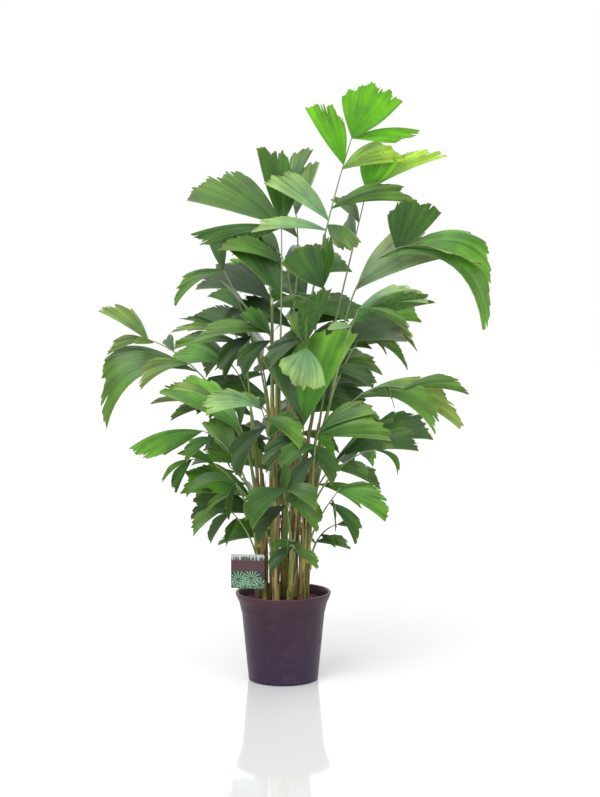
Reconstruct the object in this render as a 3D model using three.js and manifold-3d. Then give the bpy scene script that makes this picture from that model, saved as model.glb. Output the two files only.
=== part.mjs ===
// A clump of fishtail palm in a round nursery pot. Millimetres, +Z up.
// The origin is the middle of the pot's underside. -Y is the side that the plant label faces.
// The plant's own points are measured from the middle of the soil surface.

import * as THREE from 'three';
import { mergeVertices } from 'three/addons/utils/BufferGeometryUtils.js';
import Module from 'manifold-3d';

const wasm = await Module();
wasm.setup();

// Pot
const potHeight = 222;
const potBaseRadius = 87;
const potBaseRounding = 2;
const shoulderRadius = 104; // body, just under the collar
const collarHeight = 50; // from the step in the wall to the top of the pot
const collarStep = 2.5; // how far the collar stands out from the body
const collarRadius = 112; // collar, just under the lip
const lipRadius = 120;
const lipHeight = 16;
const lipRounding = 3;
const lipWidth = 7; // flat top of the lip, outside to inside
const potWall = 2;
const potFloor = 3;
const potSides = 48;
const notchCount = 8; // drainage notches round the foot
const notchWidth = 12;
const notchHeight = 4;
const notchDepth = 14;

// Soil
const soilDrop = 22; // from the top of the pot down to the soil
const soilMound = 5; // how much higher the soil is in the middle
const soilSides = 32;

// Canes
const caneDepth = 45; // how far a cane goes into the soil
const caneRadius = 7.5; // at the soil
const caneTopRadius = 3.4;
const caneSides = 6;
const caneSteps = 4;
const innerRing = 28;
const innerRingTurn = 18; // degrees, where the ring's first cane stands
const outerRing = 56;

// Fronds
const petioleRadius = 3.2;
const rachisTipRadius = 1.3;
const rachisSides = 4;
const rachisSteps = 5;
const bladeThickness = 1.6;
const bladeFootWidth = 3;
const lastFoot = 0.985; // blades at the end of a rachis start just inside it
const bladeBulge = 0.11; // how far each side margin bows out, in blade lengths for each radian of spread
const bladeCup = 0.03; // depth of the trough along the middle of a blade, in blade lengths
const wideSpread = 32; // a blade over this many degrees has a trough
const deepSag = 0.1; // a blade that sags more bends twice

// Label
const cardWidth = 84;
const cardHeight = 85;
const cardThickness = 1;
const cardCorner = 3;
const cardLift = 40; // lower edge above the soil
const cardPlace = [-87, -60]; // middle of the card, from the pot's axis
const cardTurn = -9; // degrees about the vertical
const stakeShift = 22; // from the middle of the card towards the canes
const stakeWidth = 12;
const stakeThickness = 1.6;
const stakeDepth = 55; // below the soil
const stakeReach = 60; // up the back of the card

const gap = 0.3; // between pieces that meet
const soilLevel = potHeight - soilDrop;
const up = new THREE.Vector3(0, 0, 1);

const finishes = {
  pot: new THREE.MeshStandardMaterial({ color: 0x47303f, roughness: 0.5 }),
  soil: new THREE.MeshStandardMaterial({ color: 0x2a1b1c, roughness: 0.95 }),
  cane: new THREE.MeshStandardMaterial({ color: 0x9a9a48, roughness: 0.6 }),
  leaf: new THREE.MeshStandardMaterial({ color: 0x4a8a35, roughness: 0.45 }),
  card: new THREE.MeshStandardMaterial({ color: 0x7a2342, roughness: 0.4 }),
  stake: new THREE.MeshStandardMaterial({ color: 0xe4e2dc, roughness: 0.5 }),
};

// Canes: ring, place in the ring, then the top's offset from the foot and its height.
const ringOf = { centre: [0, 0, 1], inner: [innerRing, innerRingTurn, 5], outer: [outerRing, 0, 10] };
const canes = [
  ['centre', 0, 50, 0, 700],
  ['inner', 0, 68, 16, 560],
  ['inner', 1, 20, 42, 620],
  ['inner', 2, -1, 11, 755],
  ['inner', 3, 2, -17, 600],
  ['inner', 4, 36, -27, 520],
  ['outer', 0, 44, 0, 440],
  ['outer', 1, 45, 27, 440],
  ['outer', 2, 23, 47, 460],
  ['outer', 3, -8, 57, 400],
  ['outer', 4, -15, 37, 370],
  ['outer', 5, -14, 0, 400],
  ['outer', 6, -20, -27, 300],
  ['outer', 7, -13, -37, 240],
  ['outer', 8, 40, -30, 397],
  ['outer', 9, 40, -27, 380],
];

// Fronds: the cane that carries one, the height where it leaves it, how far it first climbs beside it,
// the point that bends it outwards and its tip. Blades: place along the frond, tail from foot to tip,
// spread and roll in degrees, and sag in blade lengths.
const fronds = [
  {
    cane: 0, at: 560, rise: 190, via: [120, 15, 1000], tip: [172, 10, 1157],
    blades: [
      [1, 120, -10, 85, 70, 80, 0], [1, 165, 20, 25, 20, -80, 0.06], [0.86, -90, 15, 137, 38, 100, 0],
      [0.84, 155, 30, 22, 35, 110, 0.05], [0.67, 207, 25, 14, 22, 100, 0.08], [0.62, -152, -85, 84, 32, 80, 0.05],
      [0.58, -175, -75, -3, 18, 70, 0.05], [0.6, 80, -40, -40, 48, -75, 0.1],
    ],
  },
  {
    cane: 1, at: 500, rise: 180, via: [175, 60, 880], tip: [210, 55, 1030],
    blades: [
      [1, 77, -10, 67, 64, 85, 0], [1, 200, 15, 87, 18, 95, 0.05], [0.82, -70, 60, 60, 30, 60, 0.05],
      [0.75, -40, 120, 20, 32, 70, 0.1],
    ],
  },
  {
    cane: 2, at: 560, rise: 170, via: [60, 110, 900], tip: [15, 100, 1047],
    blades: [
      [1, 57, 10, 87, 35, 90, 0], [0.82, 62, 20, 130, 32, 95, 0], [1, -60, 60, 40, 35, 60, 0.05],
      [0.7, -90, 70, 30, 32, 70, 0.1],
    ],
  },
  {
    cane: 4, at: 440, rise: 160, via: [0, -30, 800], tip: [-4, -22, 942],
    blades: [
      [1, -223, -15, 60, 42, 70, 0.04], [1, -57, 18, 187, 42, 50, 0], [0.97, -217, 10, -12, 22, -80, 0.05],
      [0.78, -150, -30, 32, 28, 65, 0.08], [0.62, -140, -5, 125, 42, 75, 0.03],
    ],
  },
  {
    cane: 3, at: 400, rise: 150, via: [-95, 30, 730], tip: [-152, 40, 830],
    blades: [
      [1, -117, -10, -85, 22, 80, 0.12], [1, -50, 40, 90, 35, 80, 0], [0.7, -90, 50, 40, 32, 60, 0.06],
      [0.55, -60, -40, -100, 34, 70, 0.08],
    ],
  },
  {
    cane: 3, at: 480, rise: 110, via: [-28, -15, 620], tip: [-32, -20, 672],
    blades: [
      [1, -187, -15, -22, 22, 65, 0.08], [1, -72, -20, 45, 45, 80, 0], [0.93, -115, 5, 137, 30, 10, 0],
      [0.75, 75, -30, -60, 36, 100, 0.06], [0.85, -60, -50, -90, 34, 70, 0.1],
    ],
  },
  {
    cane: 6, at: 380, rise: 330, via: [150, -60, 850], tip: [302, -70, 884],
    blades: [
      [0.93, 105, -10, 88, 65, 85, 0], [1, 197, 25, -12, 15, 100, 0.04], [1, 205, -25, -42, 18, 20, 0.05],
      [0.58, 242, 10, 88, 38, 110, 0.06], [0.82, 245, -50, -160, 34, 115, 0.3], [0.96, 195, 50, -62, 18, 100, 0.12],
    ],
  },
  {
    cane: 15, at: 340, rise: 170, via: [140, -110, 640], tip: [185, -120, 735],
    blades: [
      [1, 162, -10, 17, 26, 110, 0.08], [0.85, 195, 20, 60, 26, 60, 0.05], [1, 127, -30, -63, 16, 90, 0.1],
      [0.85, -55, -10, -8, 30, 70, 0],
    ],
  },
  {
    cane: 7, at: 300, rise: 170, via: [160, 90, 620], tip: [217, 110, 682],
    blades: [
      [1, 125, 10, -57, 15, 80, 0.15], [0.92, 57, -40, -50, 16, 80, 0.1], [0.85, 125, 60, -75, 15, 80, 0.15],
      [0.7, 67, -20, -17, 14, 80, 0.1], [1, 60, 70, 40, 30, 70, 0],
    ],
  },
  {
    cane: 6, at: 210, rise: 240, via: [190, -90, 575], tip: [298, -120, 538],
    blades: [
      [0.6, 247, -30, -65, 25, 110, 0.14], [1, 152, -10, -12, 22, 100, 0.08], [0.76, 127, 30, -40, 15, 85, 0.1],
      [0.72, 150, -60, -95, 30, 100, 0.15], [0.5, 75, -50, -30, 26, 110, 0.1], [0.85, 20, -60, -45, 30, 80, 0.05],
    ],
  },
  {
    cane: 15, at: 230, rise: 90, via: [75, -100, 410], tip: [90, -115, 440],
    blades: [
      [1, 132, -25, 45, 30, 110, 0.05], [0.85, 168, -45, -5, 34, 100, 0.05], [0.8, 47, -50, -42, 40, 80, 0.05],
      [0.7, -80, -30, -60, 36, 80, 0.08], [0.55, -40, -40, -110, 34, 80, 0.08],
    ],
  },
  {
    cane: 15, at: 190, rise: 100, via: [170, -60, 385], tip: [232, -70, 385],
    blades: [
      [1, 42, -10, 8, 35, 80, 0], [1, 52, 5, -60, 18, 80, 0.2], [0.65, 42, -30, -32, 35, 100, 0],
      [0.8, 20, 60, -20, 30, 70, 0],
    ],
  },
  {
    cane: 15, at: 90, rise: 90, via: [105, -90, 245], tip: [142, -95, 297],
    blades: [
      [1, 90, 0, 0, 14, 90, 0.05], [0.92, 112, -35, -65, 38, 110, 0.08], [0.8, 12, -50, -70, 34, 90, 0.05],
      [0.75, 62, -10, -97, 30, 80, 0.08],
    ],
  },
  {
    cane: 6, at: 70, rise: 60, via: [95, -50, 190], tip: [137, -60, 200],
    blades: [
      [1, 57, -10, -5, 35, 110, 0], [0.6, 32, -40, -25, 30, 100, 0], [0.45, 77, -50, -10, 28, 100, 0.05],
    ],
  },
  {
    cane: 11, at: 270, rise: 170, via: [-230, -40, 635], tip: [-335, -50, 655],
    blades: [
      [1, -118, -10, 72, 30, 75, 0.05], [1, -105, 20, -35, 24, 80, 0.08], [0.95, -35, -50, 0, 30, 70, 0],
      [0.64, -220, -40, -125, 36, 65, 0.27], [0.7, -107, -70, -55, 28, 65, 0.12], [0.8, -40, 80, 20, 32, 70, 0.05],
    ],
  },
  {
    cane: 11, at: 350, rise: 190, via: [-85, 40, 670], tip: [-150, 50, 680],
    blades: [
      [1, -115, 20, 25, 12, 80, 0.03], [1, -130, -25, -8, 12, 80, 0.05], [0.95, -155, 60, -45, 26, 15, 0.05],
      [0.72, -167, -10, -15, 20, 65, 0.08], [0.85, -50, 70, 20, 30, 70, 0],
    ],
  },
  {
    cane: 12, at: 210, rise: 140, via: [-95, -80, 500], tip: [-172, -95, 518],
    blades: [
      [1, -97, -15, 20, 24, 70, 0.06], [0.56, -195, 15, 92, 36, 60, 0.05], [0.6, 20, -60, 70, 35, 70, 0],
      [0.85, -30, -70, -30, 30, 70, 0.05],
    ],
  },
  {
    cane: 10, at: 170, rise: 160, via: [-130, 80, 500], tip: [-226, 95, 493],
    blades: [
      [1, -117, 10, -7, 14, 80, 0.05], [0.82, -105, -30, -32, 22, 70, 0.08], [0.74, -17, -50, -80, 30, 80, 0.05],
      [0.7, -60, 80, 10, 30, 70, 0.05], [0.9, -50, 70, 30, 28, 70, 0],
    ],
  },
  {
    cane: 4, at: 230, rise: 110, via: [-40, -85, 450], tip: [-52, -120, 497],
    blades: [
      [1, -177, -55, -5, 28, 60, 0.07], [0.95, -70, 30, 30, 32, 75, 0], [1, 20, -70, 20, 30, 60, 0.05],
      [0.82, 85, -20, -75, 36, 100, 0.08], [0.72, -60, -20, -120, 34, 75, 0.1], [0.6, 70, -30, 50, 34, 100, 0.05],
    ],
  },
  {
    cane: 12, at: 130, rise: 150, via: [-120, -70, 410], tip: [-200, -90, 435],
    blades: [
      [1, -172, -20, -35, 30, -75, 0.08], [0.62, -78, 25, 80, 45, 70, 0], [0.85, -60, -60, -50, 28, 70, 0.08],
    ],
  },
  {
    cane: 11, at: 110, rise: 120, via: [-140, 30, 360], tip: [-235, 35, 350],
    blades: [
      [1, -35, -15, -80, 30, 80, 0.05], [1, -77, 10, -60, 15, 80, 0.1], [0.75, -90, -30, 35, 24, 70, 0.06],
      [0.85, -45, 55, -15, 28, 70, 0.05],
    ],
  },
  {
    cane: 13, at: 80, rise: 100, via: [-80, -115, 270], tip: [-115, -125, 312],
    blades: [
      [1, -115, -30, -25, 22, 65, 0.18], [1, -12, -40, -82, 30, 80, 0.05], [0.85, -95, 10, -62, 16, 75, 0.1],
    ],
  },
  {
    cane: 12, at: 50, rise: 80, via: [-105, -50, 220], tip: [-142, -55, 240],
    blades: [
      [1, -77, -25, -62, 30, 70, 0.08], [0.88, -55, 20, -80, 30, 75, 0.05], [0.75, -20, -50, -60, 28, 80, 0.05],
    ],
  },
  {
    cane: 14, at: 100, rise: 100, via: [-5, -120, 280], tip: [5, -145, 300],
    blades: [
      [1, -72, -40, -90, 46, 80, 0.08], [1, 72, -30, -45, 44, 110, 0.08], [0.8, -70, -50, -60, 40, 60, 0.1],
      [0.9, 20, -60, 60, 40, 80, 0], [0.72, 75, -15, -80, 40, 100, 0.08], [0.6, -65, 5, -90, 38, 70, 0.08],
      [0.66, 10, -50, -115, 36, 85, 0.05],
    ],
  },
  {
    cane: 14, at: 40, rise: 60, via: [25, -110, 150], tip: [25, -130, 165],
    blades: [
      [1, 30, -50, -20, 36, 80, 0], [1, -45, -35, -5, 34, 60, 0], [0.8, -50, -20, -60, 34, 75, 0.05],
      [0.7, 58, -10, -45, 34, 95, 0.05],
    ],
  },
  {
    cane: 5, at: 230, rise: 90, via: [50, -75, 400], tip: [51, -85, 450],
    blades: [
      [1, -102, -20, 165, 40, 85, 0.03], [1, 128, -10, 218, 42, 95, 0.03], [0.9, 0, -80, 50, 35, 80, 0.05],
      [0.8, -85, -40, -80, 36, 70, 0.08], [0.7, 65, -30, -100, 36, 100, 0.08],
    ],
  },
  {
    cane: 5, at: 370, rise: 190, via: [54, -55, 750], tip: [55, -140, 634],
    blades: [
      [1, 45, -25, -85, 100, -85, 0.05], [0.93, 60, 10, 130, 50, 60, 0], [0.93, -42, 15, 62, 40, 80, 0],
      [1, 8, -10, 78, 12, 90, 0], [0.7, -80, -20, -70, 34, 70, 0.06],
    ],
  },
  {
    cane: 5, at: 450, rise: 140, via: [85, -70, 730], tip: [97, -75, 785],
    blades: [
      [1, -97, -20, 57, 76, 85, 0], [0.97, 0, 30, 130, 40, 60, 0], [0.8, -60, -60, 10, 30, 60, 0.05],
      [0.6, -70, -30, -90, 36, 75, 0.08],
    ],
  },
];

// Fronds round the back: cane, height where it leaves it, bearing in degrees, reach and height of the tip.
const backFronds = [
  [8, 420, 75, 230, 760],
  [9, 360, 112, 250, 660],
  [2, 500, 95, 240, 880],
  [10, 330, 130, 250, 600],
  [7, 400, 38, 260, 710],
  [8, 250, 74, 270, 520],
  [9, 200, 103, 260, 430],
  [10, 100, 135, 200, 320],
  [7, 150, 33, 240, 380],
  [9, 60, 95, 190, 240],
  [3, 600, 104, 210, 830],
  [2, 380, 58, 270, 610],
];
const backBlades = 8;
const backStart = 0.36; // place of the first blade along the frond
const backBladeLength = 195;

// Where a piece stands too close to one already placed, it is laid another way. A blade with no clear way
// to lie is left off.
const bowTries = [0, 10, -10, 20, -20, 30, -30, 45, -45, 60, -60];
const turnTries = [0, 35, -35, 70, -70];
const swingTries = [0, 6, -6, 12, -12, 18, -18, 25, -25, 33, -33, 42, -42];
const liftTries = [0, 9, -9, 18];

const radians = THREE.MathUtils.degToRad;

function solidOf(geometry) {
  geometry.deleteAttribute('normal');
  geometry.deleteAttribute('uv');
  const merged = mergeVertices(geometry, 1e-4);
  const vertProperties = new Float32Array(merged.attributes.position.array);
  const triVerts = new Uint32Array(merged.index.array);
  return new wasm.Manifold(new wasm.Mesh({ numProp: 3, vertProperties, triVerts }));
}

function geometryOf(solid) {
  const mesh = solid.getMesh();
  const geometry = new THREE.BufferGeometry();
  geometry.setAttribute('position', new THREE.BufferAttribute(mesh.vertProperties, 3));
  geometry.setIndex(new THREE.BufferAttribute(mesh.triVerts, 1));
  geometry.computeVertexNormals();
  return geometry;
}

function addPiece(parent, name, geometry, finish) {
  const piece = new THREE.Mesh(geometry, finish);
  piece.name = name;
  parent.add(piece);
}

function numbered(name, index) {
  return `${name}_${String(index + 1).padStart(2, '0')}`;
}

// Revolves a profile of [radius, height] about the vertical.
function turned(profile, sides) {
  const points = profile.map(([radius, height]) => new THREE.Vector2(radius, height));
  return new THREE.LatheGeometry(points, sides).rotateX(Math.PI / 2);
}

function moveVertices(geometry, place) {
  const position = geometry.attributes.position;
  const point = new THREE.Vector3();
  for (let i = 0; i < position.count; i++) {
    point.fromBufferAttribute(position, i);
    place(point);
    position.setXYZ(i, point.x, point.y, point.z);
  }
  return geometry;
}

// A tapered rod along a curve. `flat` is a direction that the curve never runs along.
function rod(curve, startRadius, endRadius, sides, steps, flat) {
  const geometry = new THREE.CylinderGeometry(1, 1, 1, sides, steps);
  return moveVertices(geometry, (point) => {
    const t = point.y + 0.5;
    const along = curve.getTangent(t);
    const side = new THREE.Vector3().crossVectors(along, flat).normalize();
    const other = new THREE.Vector3().crossVectors(side, along);
    const radius = THREE.MathUtils.lerp(startRadius, endRadius, t);
    const { x, z } = point;
    point.copy(curve.getPoint(t)).addScaledVector(side, x * radius).addScaledVector(other, z * radius);
  });
}

// A point on the straight stretches between a rod's steps.
function rodPoint(curve, t, steps) {
  const step = Math.min(Math.floor(t * steps), steps - 1);
  const from = curve.getPoint(step / steps);
  return from.lerp(curve.getPoint((step + 1) / steps), t * steps - step);
}

// Pot

const stepHeight = potHeight - collarHeight;
const lipBottom = potHeight - lipHeight;

const collarBottom = stepHeight + collarStep;

// Outer radius of the wall under the lip at a height.
function wallRadius(height) {
  if (height <= stepHeight) {
    return THREE.MathUtils.mapLinear(height, 0, stepHeight, potBaseRadius, shoulderRadius);
  }
  if (height <= collarBottom) {
    return shoulderRadius + height - stepHeight;
  }
  return THREE.MathUtils.mapLinear(height, collarBottom, lipBottom, shoulderRadius + collarStep, collarRadius);
}

function buildPot() {
  const lipInside = lipRadius - lipWidth;
  const profile = [
    [0, 0],
    [potBaseRadius - potBaseRounding, 0],
    [wallRadius(potBaseRounding), potBaseRounding],
    [shoulderRadius, stepHeight],
    [shoulderRadius + collarStep, collarBottom],
    [collarRadius, lipBottom],
    [lipRadius, lipBottom + lipRounding],
    [lipRadius, potHeight - lipRounding],
    [lipRadius - lipRounding, potHeight],
    [lipInside, potHeight],
    [collarRadius - potWall, lipBottom],
    [shoulderRadius + collarStep - potWall, collarBottom],
    [shoulderRadius - potWall, stepHeight],
    [wallRadius(potFloor) - potWall, potFloor],
    [0, potFloor],
  ];
  let pot = solidOf(turned(profile, potSides));
  for (let i = 0; i < notchCount; i++) {
    const notch = new THREE.BoxGeometry(notchDepth * 2, notchWidth, notchHeight * 2);
    notch.translate(potBaseRadius, 0, 0).rotateZ(((i + 0.5) / notchCount) * 2 * Math.PI);
    pot = pot.subtract(solidOf(notch));
  }
  return pot;
}

// Canes

function caneFoot([ring, place]) {
  const [radius, turn, count] = ringOf[ring];
  const bearing = radians(turn + (place * 360) / count);
  return new THREE.Vector3(radius * Math.cos(bearing), radius * Math.sin(bearing), -caneDepth);
}

function caneCurve(cane) {
  const [, , leanX, leanY, height] = cane;
  const foot = caneFoot(cane);
  const middle = foot.clone().setZ(height / 2);
  const top = foot.clone().add(new THREE.Vector3(leanX, leanY, 0)).setZ(height);
  return new THREE.QuadraticBezierCurve3(foot, middle, top);
}

function buildCane(cane, spare) {
  const curve = caneCurve(cane);
  const flat = new THREE.Vector3(0, 1, 0);
  return rod(curve, caneRadius + spare, caneTopRadius + spare, caneSides, caneSteps, flat);
}

// The point of a cane at a height above the soil, its radius there and its direction.
function caneAt(cane, height) {
  const curve = caneCurve(cane);
  const t = (height + caneDepth) / (cane[4] + caneDepth);
  const radius = THREE.MathUtils.lerp(caneRadius, caneTopRadius, t);
  return { point: curve.getPoint(t), radius, along: curve.getTangent(t) };
}

// Fronds

function frondCurve(frond, bow, turn) {
  const carrier = caneAt(canes[frond.cane], frond.at);
  const tip = new THREE.Vector3(...frond.tip);
  const outwards = tip.clone().sub(carrier.point).setZ(0).normalize();
  const sideways = new THREE.Vector3().crossVectors(up, outwards);
  const beside = outwards.clone().applyAxisAngle(up, radians(turn));
  const start = carrier.point.clone().addScaledVector(beside, carrier.radius + petioleRadius + gap * 2);
  const climb = start.clone().addScaledVector(carrier.along, frond.rise);
  const via = new THREE.Vector3(...frond.via).addScaledVector(sideways, bow);
  return { curve: new THREE.CubicBezierCurve3(start, climb, via, tip), sideways };
}

function buildRachis(frond, bow, turn, spare) {
  const { curve, sideways } = frondCurve(frond, bow, turn);
  return rod(curve, petioleRadius + spare, rachisTipRadius + spare, rachisSides, rachisSteps, sideways);
}

// A point of a blade's middle surface: u runs from the tail margin to the short one, v from foot to end.
function bladePoint(blade, u, v) {
  const { foot, tail, across, length, spread, sag } = blade;
  const arch = new THREE.Vector3().copy(up).addScaledVector(tail, -up.dot(tail)).normalize();
  const short = 0.5 + spread / 450;
  const reach = v * length * (1 - (1 - short) * u ** (0.8 + spread / 70));
  const angle = radians(spread) * u;
  const ahead = (reach * Math.cos(angle)) / length;
  const bow = (2 * u - 1) * bladeBulge * radians(spread) * length * Math.sin(Math.PI * v);
  const trough = -bladeCup * length * (1 - Math.abs(2 * u - 1)) * Math.sin(Math.PI * Math.min(v, 0.9));
  const face = new THREE.Vector3().crossVectors(across, tail);
  return foot.clone()
    .addScaledVector(tail, ahead * length)
    .addScaledVector(across, reach * Math.sin(angle) + bow + (u - 0.5) * bladeFootWidth * (1 - v))
    .addScaledVector(arch, 4 * sag * ahead * (1 - ahead) * length)
    .addScaledVector(face, trough);
}

// A box splits its back squares across the other diagonal. A warped blade needs both faces split alike.
function alignBack(geometry) {
  const { start, count } = geometry.groups[5];
  const { index } = geometry;
  for (let i = start; i < start + count; i += 6) {
    const [a, b, d, , c] = index.array.slice(i, i + 5);
    index.set([a, b, c, a, c, d], i);
  }
  return geometry;
}

function buildBlade(row, curve, swing, lift, spare) {
  const [place, dx, dy, dz, spread, roll, sag] = row;
  const vector = new THREE.Vector3(dx, dy, dz);
  const length = vector.length();
  const tail = vector.divideScalar(length).applyAxisAngle(up, radians(swing));
  const level = new THREE.Vector3().crossVectors(tail, up).normalize();
  tail.applyAxisAngle(level, radians(lift));
  const raised = new THREE.Vector3().crossVectors(level, tail);
  const across = level.clone().multiplyScalar(Math.cos(radians(roll)));
  across.addScaledVector(raised, Math.sin(radians(roll)));
  const foot = rodPoint(curve, Math.min(place, lastFoot), rachisSteps);
  const blade = { foot, tail, across, length, spread, sag };
  const face = new THREE.Vector3().crossVectors(across, tail);
  const columns = spread > wideSpread ? 2 : 1;
  const rows = sag > deepSag ? 3 : 2;
  const geometry = new THREE.BoxGeometry(1, 1, bladeThickness + spare * 2, columns, rows, 1);
  return moveVertices(alignBack(geometry), (point) => {
    const { x, y, z } = point;
    point.copy(bladePoint(blade, x + 0.5, y + 0.5)).addScaledVector(face, z);
  });
}

// A frond round the back: its blades stand alternately on both sides, and a pair ends it.
function backFrond([cane, at, bearing, reach, height], index) {
  const ahead = new THREE.Vector3(Math.cos(radians(bearing)), Math.sin(radians(bearing)), 0);
  const tip = ahead.clone().multiplyScalar(reach).setZ(height);
  const via = ahead.clone().multiplyScalar(reach * 0.55).setZ(height - 40);
  const blades = [];
  for (let i = 0; i < backBlades; i++) {
    const side = i % 2 === 0 ? 1 : -1;
    const far = i / (backBlades - 1);
    const vary = Math.sin(2.4 * (index * backBlades + i));
    const fling = side * (72 - 40 * far + 10 * vary);
    const length = backBladeLength * (0.8 + 0.2 * vary);
    const tail = ahead.clone().applyAxisAngle(up, radians(fling)).setZ(-0.15 + 0.35 * vary).setLength(length);
    const spread = 36 + 10 * vary;
    blades.push([THREE.MathUtils.lerp(backStart, 1, far), tail.x, tail.y, tail.z, spread, 90 - side * 35, 0.08]);
  }
  const rise = (height - at) * 0.45;
  return { cane, at, rise, via: via.toArray(), tip: tip.toArray(), blades };
}

// Placing: each new solid has to stand clear of the ones already there.

const placed = [];

function boxesMeet(a, b) {
  return [0, 1, 2].every((i) => a.min[i] < b.max[i] && b.min[i] < a.max[i]);
}

function standsClear(solid) {
  const box = solid.boundingBox();
  return placed.every((other) => !boxesMeet(box, other.box) || solid.intersect(other.solid).volume() === 0);
}

function settle(firstTries, secondTries, build) {
  for (const second of secondTries) {
    for (const first of firstTries) {
      if (standsClear(solidOf(build(first, second, gap)))) {
        return [first, second];
      }
    }
  }
  return null;
}

function keep(solid) {
  placed.push({ solid, box: solid.boundingBox() });
}

function buildFrond(frond) {
  const [bow, turn] = settle(bowTries, turnTries, (b, t, spare) => buildRachis(frond, b, t, spare)) ?? [0, 0];
  let solid = solidOf(buildRachis(frond, bow, turn, 0));
  const { curve } = frondCurve(frond, bow, turn);
  for (const row of frond.blades) {
    const lay = settle(swingTries, liftTries, (s, l, spare) => buildBlade(row, curve, s, l, spare));
    if (lay) {
      solid = solid.add(solidOf(buildBlade(row, curve, ...lay, 0)));
    }
  }
  keep(solid);
  return solid;
}

// Label

function buildCard() {
  const half = cardWidth / 2 - cardCorner;
  const tall = cardHeight - cardCorner;
  const outline = new THREE.Shape();
  outline.absarc(half, cardCorner, cardCorner, -Math.PI / 2, 0);
  outline.absarc(half, tall, cardCorner, 0, Math.PI / 2);
  outline.absarc(-half, tall, cardCorner, Math.PI / 2, Math.PI);
  outline.absarc(-half, cardCorner, cardCorner, Math.PI, Math.PI * 1.5);
  const settings = { depth: cardThickness, bevelEnabled: false, curveSegments: 4 };
  return new THREE.ExtrudeGeometry(outline, settings).rotateX(Math.PI / 2).translate(0, 0, cardLift);
}

function buildStake(spare) {
  const tall = stakeDepth + cardLift + stakeReach;
  const strip = new THREE.BoxGeometry(stakeWidth + spare * 2, stakeThickness + spare * 2, tall + spare * 2);
  return strip.translate(stakeShift, stakeThickness / 2 + gap, tall / 2 - stakeDepth);
}

function standLabel(geometry) {
  return geometry.rotateZ(radians(cardTurn)).translate(cardPlace[0], cardPlace[1], 0);
}

// Soil: fills the pot up to the level, with a pocket for each cane and a slot for the stake.

// It clears the flats of the pot's faceted wall, which lie further in than its corners.
function soilRadius(height) {
  return (wallRadius(height) - potWall) * Math.cos(Math.PI / potSides) - gap;
}

function buildSoil() {
  const bottom = potFloor + gap;
  const heights = [bottom, stepHeight, collarBottom].filter((height) => height < soilLevel);
  const profile = [
    [0, bottom],
    ...[...heights, soilLevel].map((height) => [soilRadius(height), height]),
    [outerRing * 1.4, soilLevel + soilMound * 0.3],
    [0, soilLevel + soilMound],
  ];
  let soil = solidOf(turned(profile, soilSides));
  for (const cane of canes) {
    soil = soil.subtract(solidOf(buildCane(cane, gap).translate(0, 0, soilLevel)));
  }
  return soil.subtract(solidOf(standLabel(buildStake(gap)).translate(0, 0, soilLevel)));
}

// The whole object

const pottedPalm = new THREE.Group();
const plant = new THREE.Group();
plant.position.z = soilLevel;
pottedPalm.add(plant);

const pot = buildPot();
keep(pot.translate(0, 0, -soilLevel));
addPiece(pottedPalm, 'pot', geometryOf(pot), finishes.pot);
addPiece(pottedPalm, 'potting_soil', geometryOf(buildSoil()), finishes.soil);

const card = standLabel(buildCard());
const stake = standLabel(buildStake(0));
keep(solidOf(card.clone()));
keep(solidOf(stake.clone()));
addPiece(plant, 'label_card', card, finishes.card);
addPiece(plant, 'label_stake', stake, finishes.stake);

canes.forEach((cane, index) => {
  const geometry = buildCane(cane, 0);
  keep(solidOf(geometry.clone()));
  addPiece(plant, numbered('stem', index), geometry, finishes.cane);
});

[...fronds, ...backFronds.map(backFrond)].forEach((frond, index) => {
  addPiece(plant, numbered('frond', index), geometryOf(buildFrond(frond)), finishes.leaf);
});

export default pottedPalm;
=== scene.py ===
import math
import random

import bmesh
import bpy
from mathutils import Matrix, Vector
from mathutils.kdtree import KDTree


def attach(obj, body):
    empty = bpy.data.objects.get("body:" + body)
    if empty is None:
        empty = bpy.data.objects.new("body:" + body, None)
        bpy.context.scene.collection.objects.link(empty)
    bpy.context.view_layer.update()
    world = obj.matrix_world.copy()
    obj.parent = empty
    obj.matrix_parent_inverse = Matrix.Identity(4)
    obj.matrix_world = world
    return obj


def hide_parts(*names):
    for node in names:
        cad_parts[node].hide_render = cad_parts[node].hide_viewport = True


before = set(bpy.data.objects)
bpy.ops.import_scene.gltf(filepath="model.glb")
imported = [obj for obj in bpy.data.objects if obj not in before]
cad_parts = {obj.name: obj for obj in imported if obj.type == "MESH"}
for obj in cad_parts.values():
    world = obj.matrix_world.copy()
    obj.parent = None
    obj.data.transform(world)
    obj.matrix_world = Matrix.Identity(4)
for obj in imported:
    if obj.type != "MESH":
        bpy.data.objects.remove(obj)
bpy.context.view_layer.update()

scene = bpy.context.scene
mm = 0.001
upward = Vector((0, 0, 1))
soilLevel = 200 * mm  # over the floor


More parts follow.
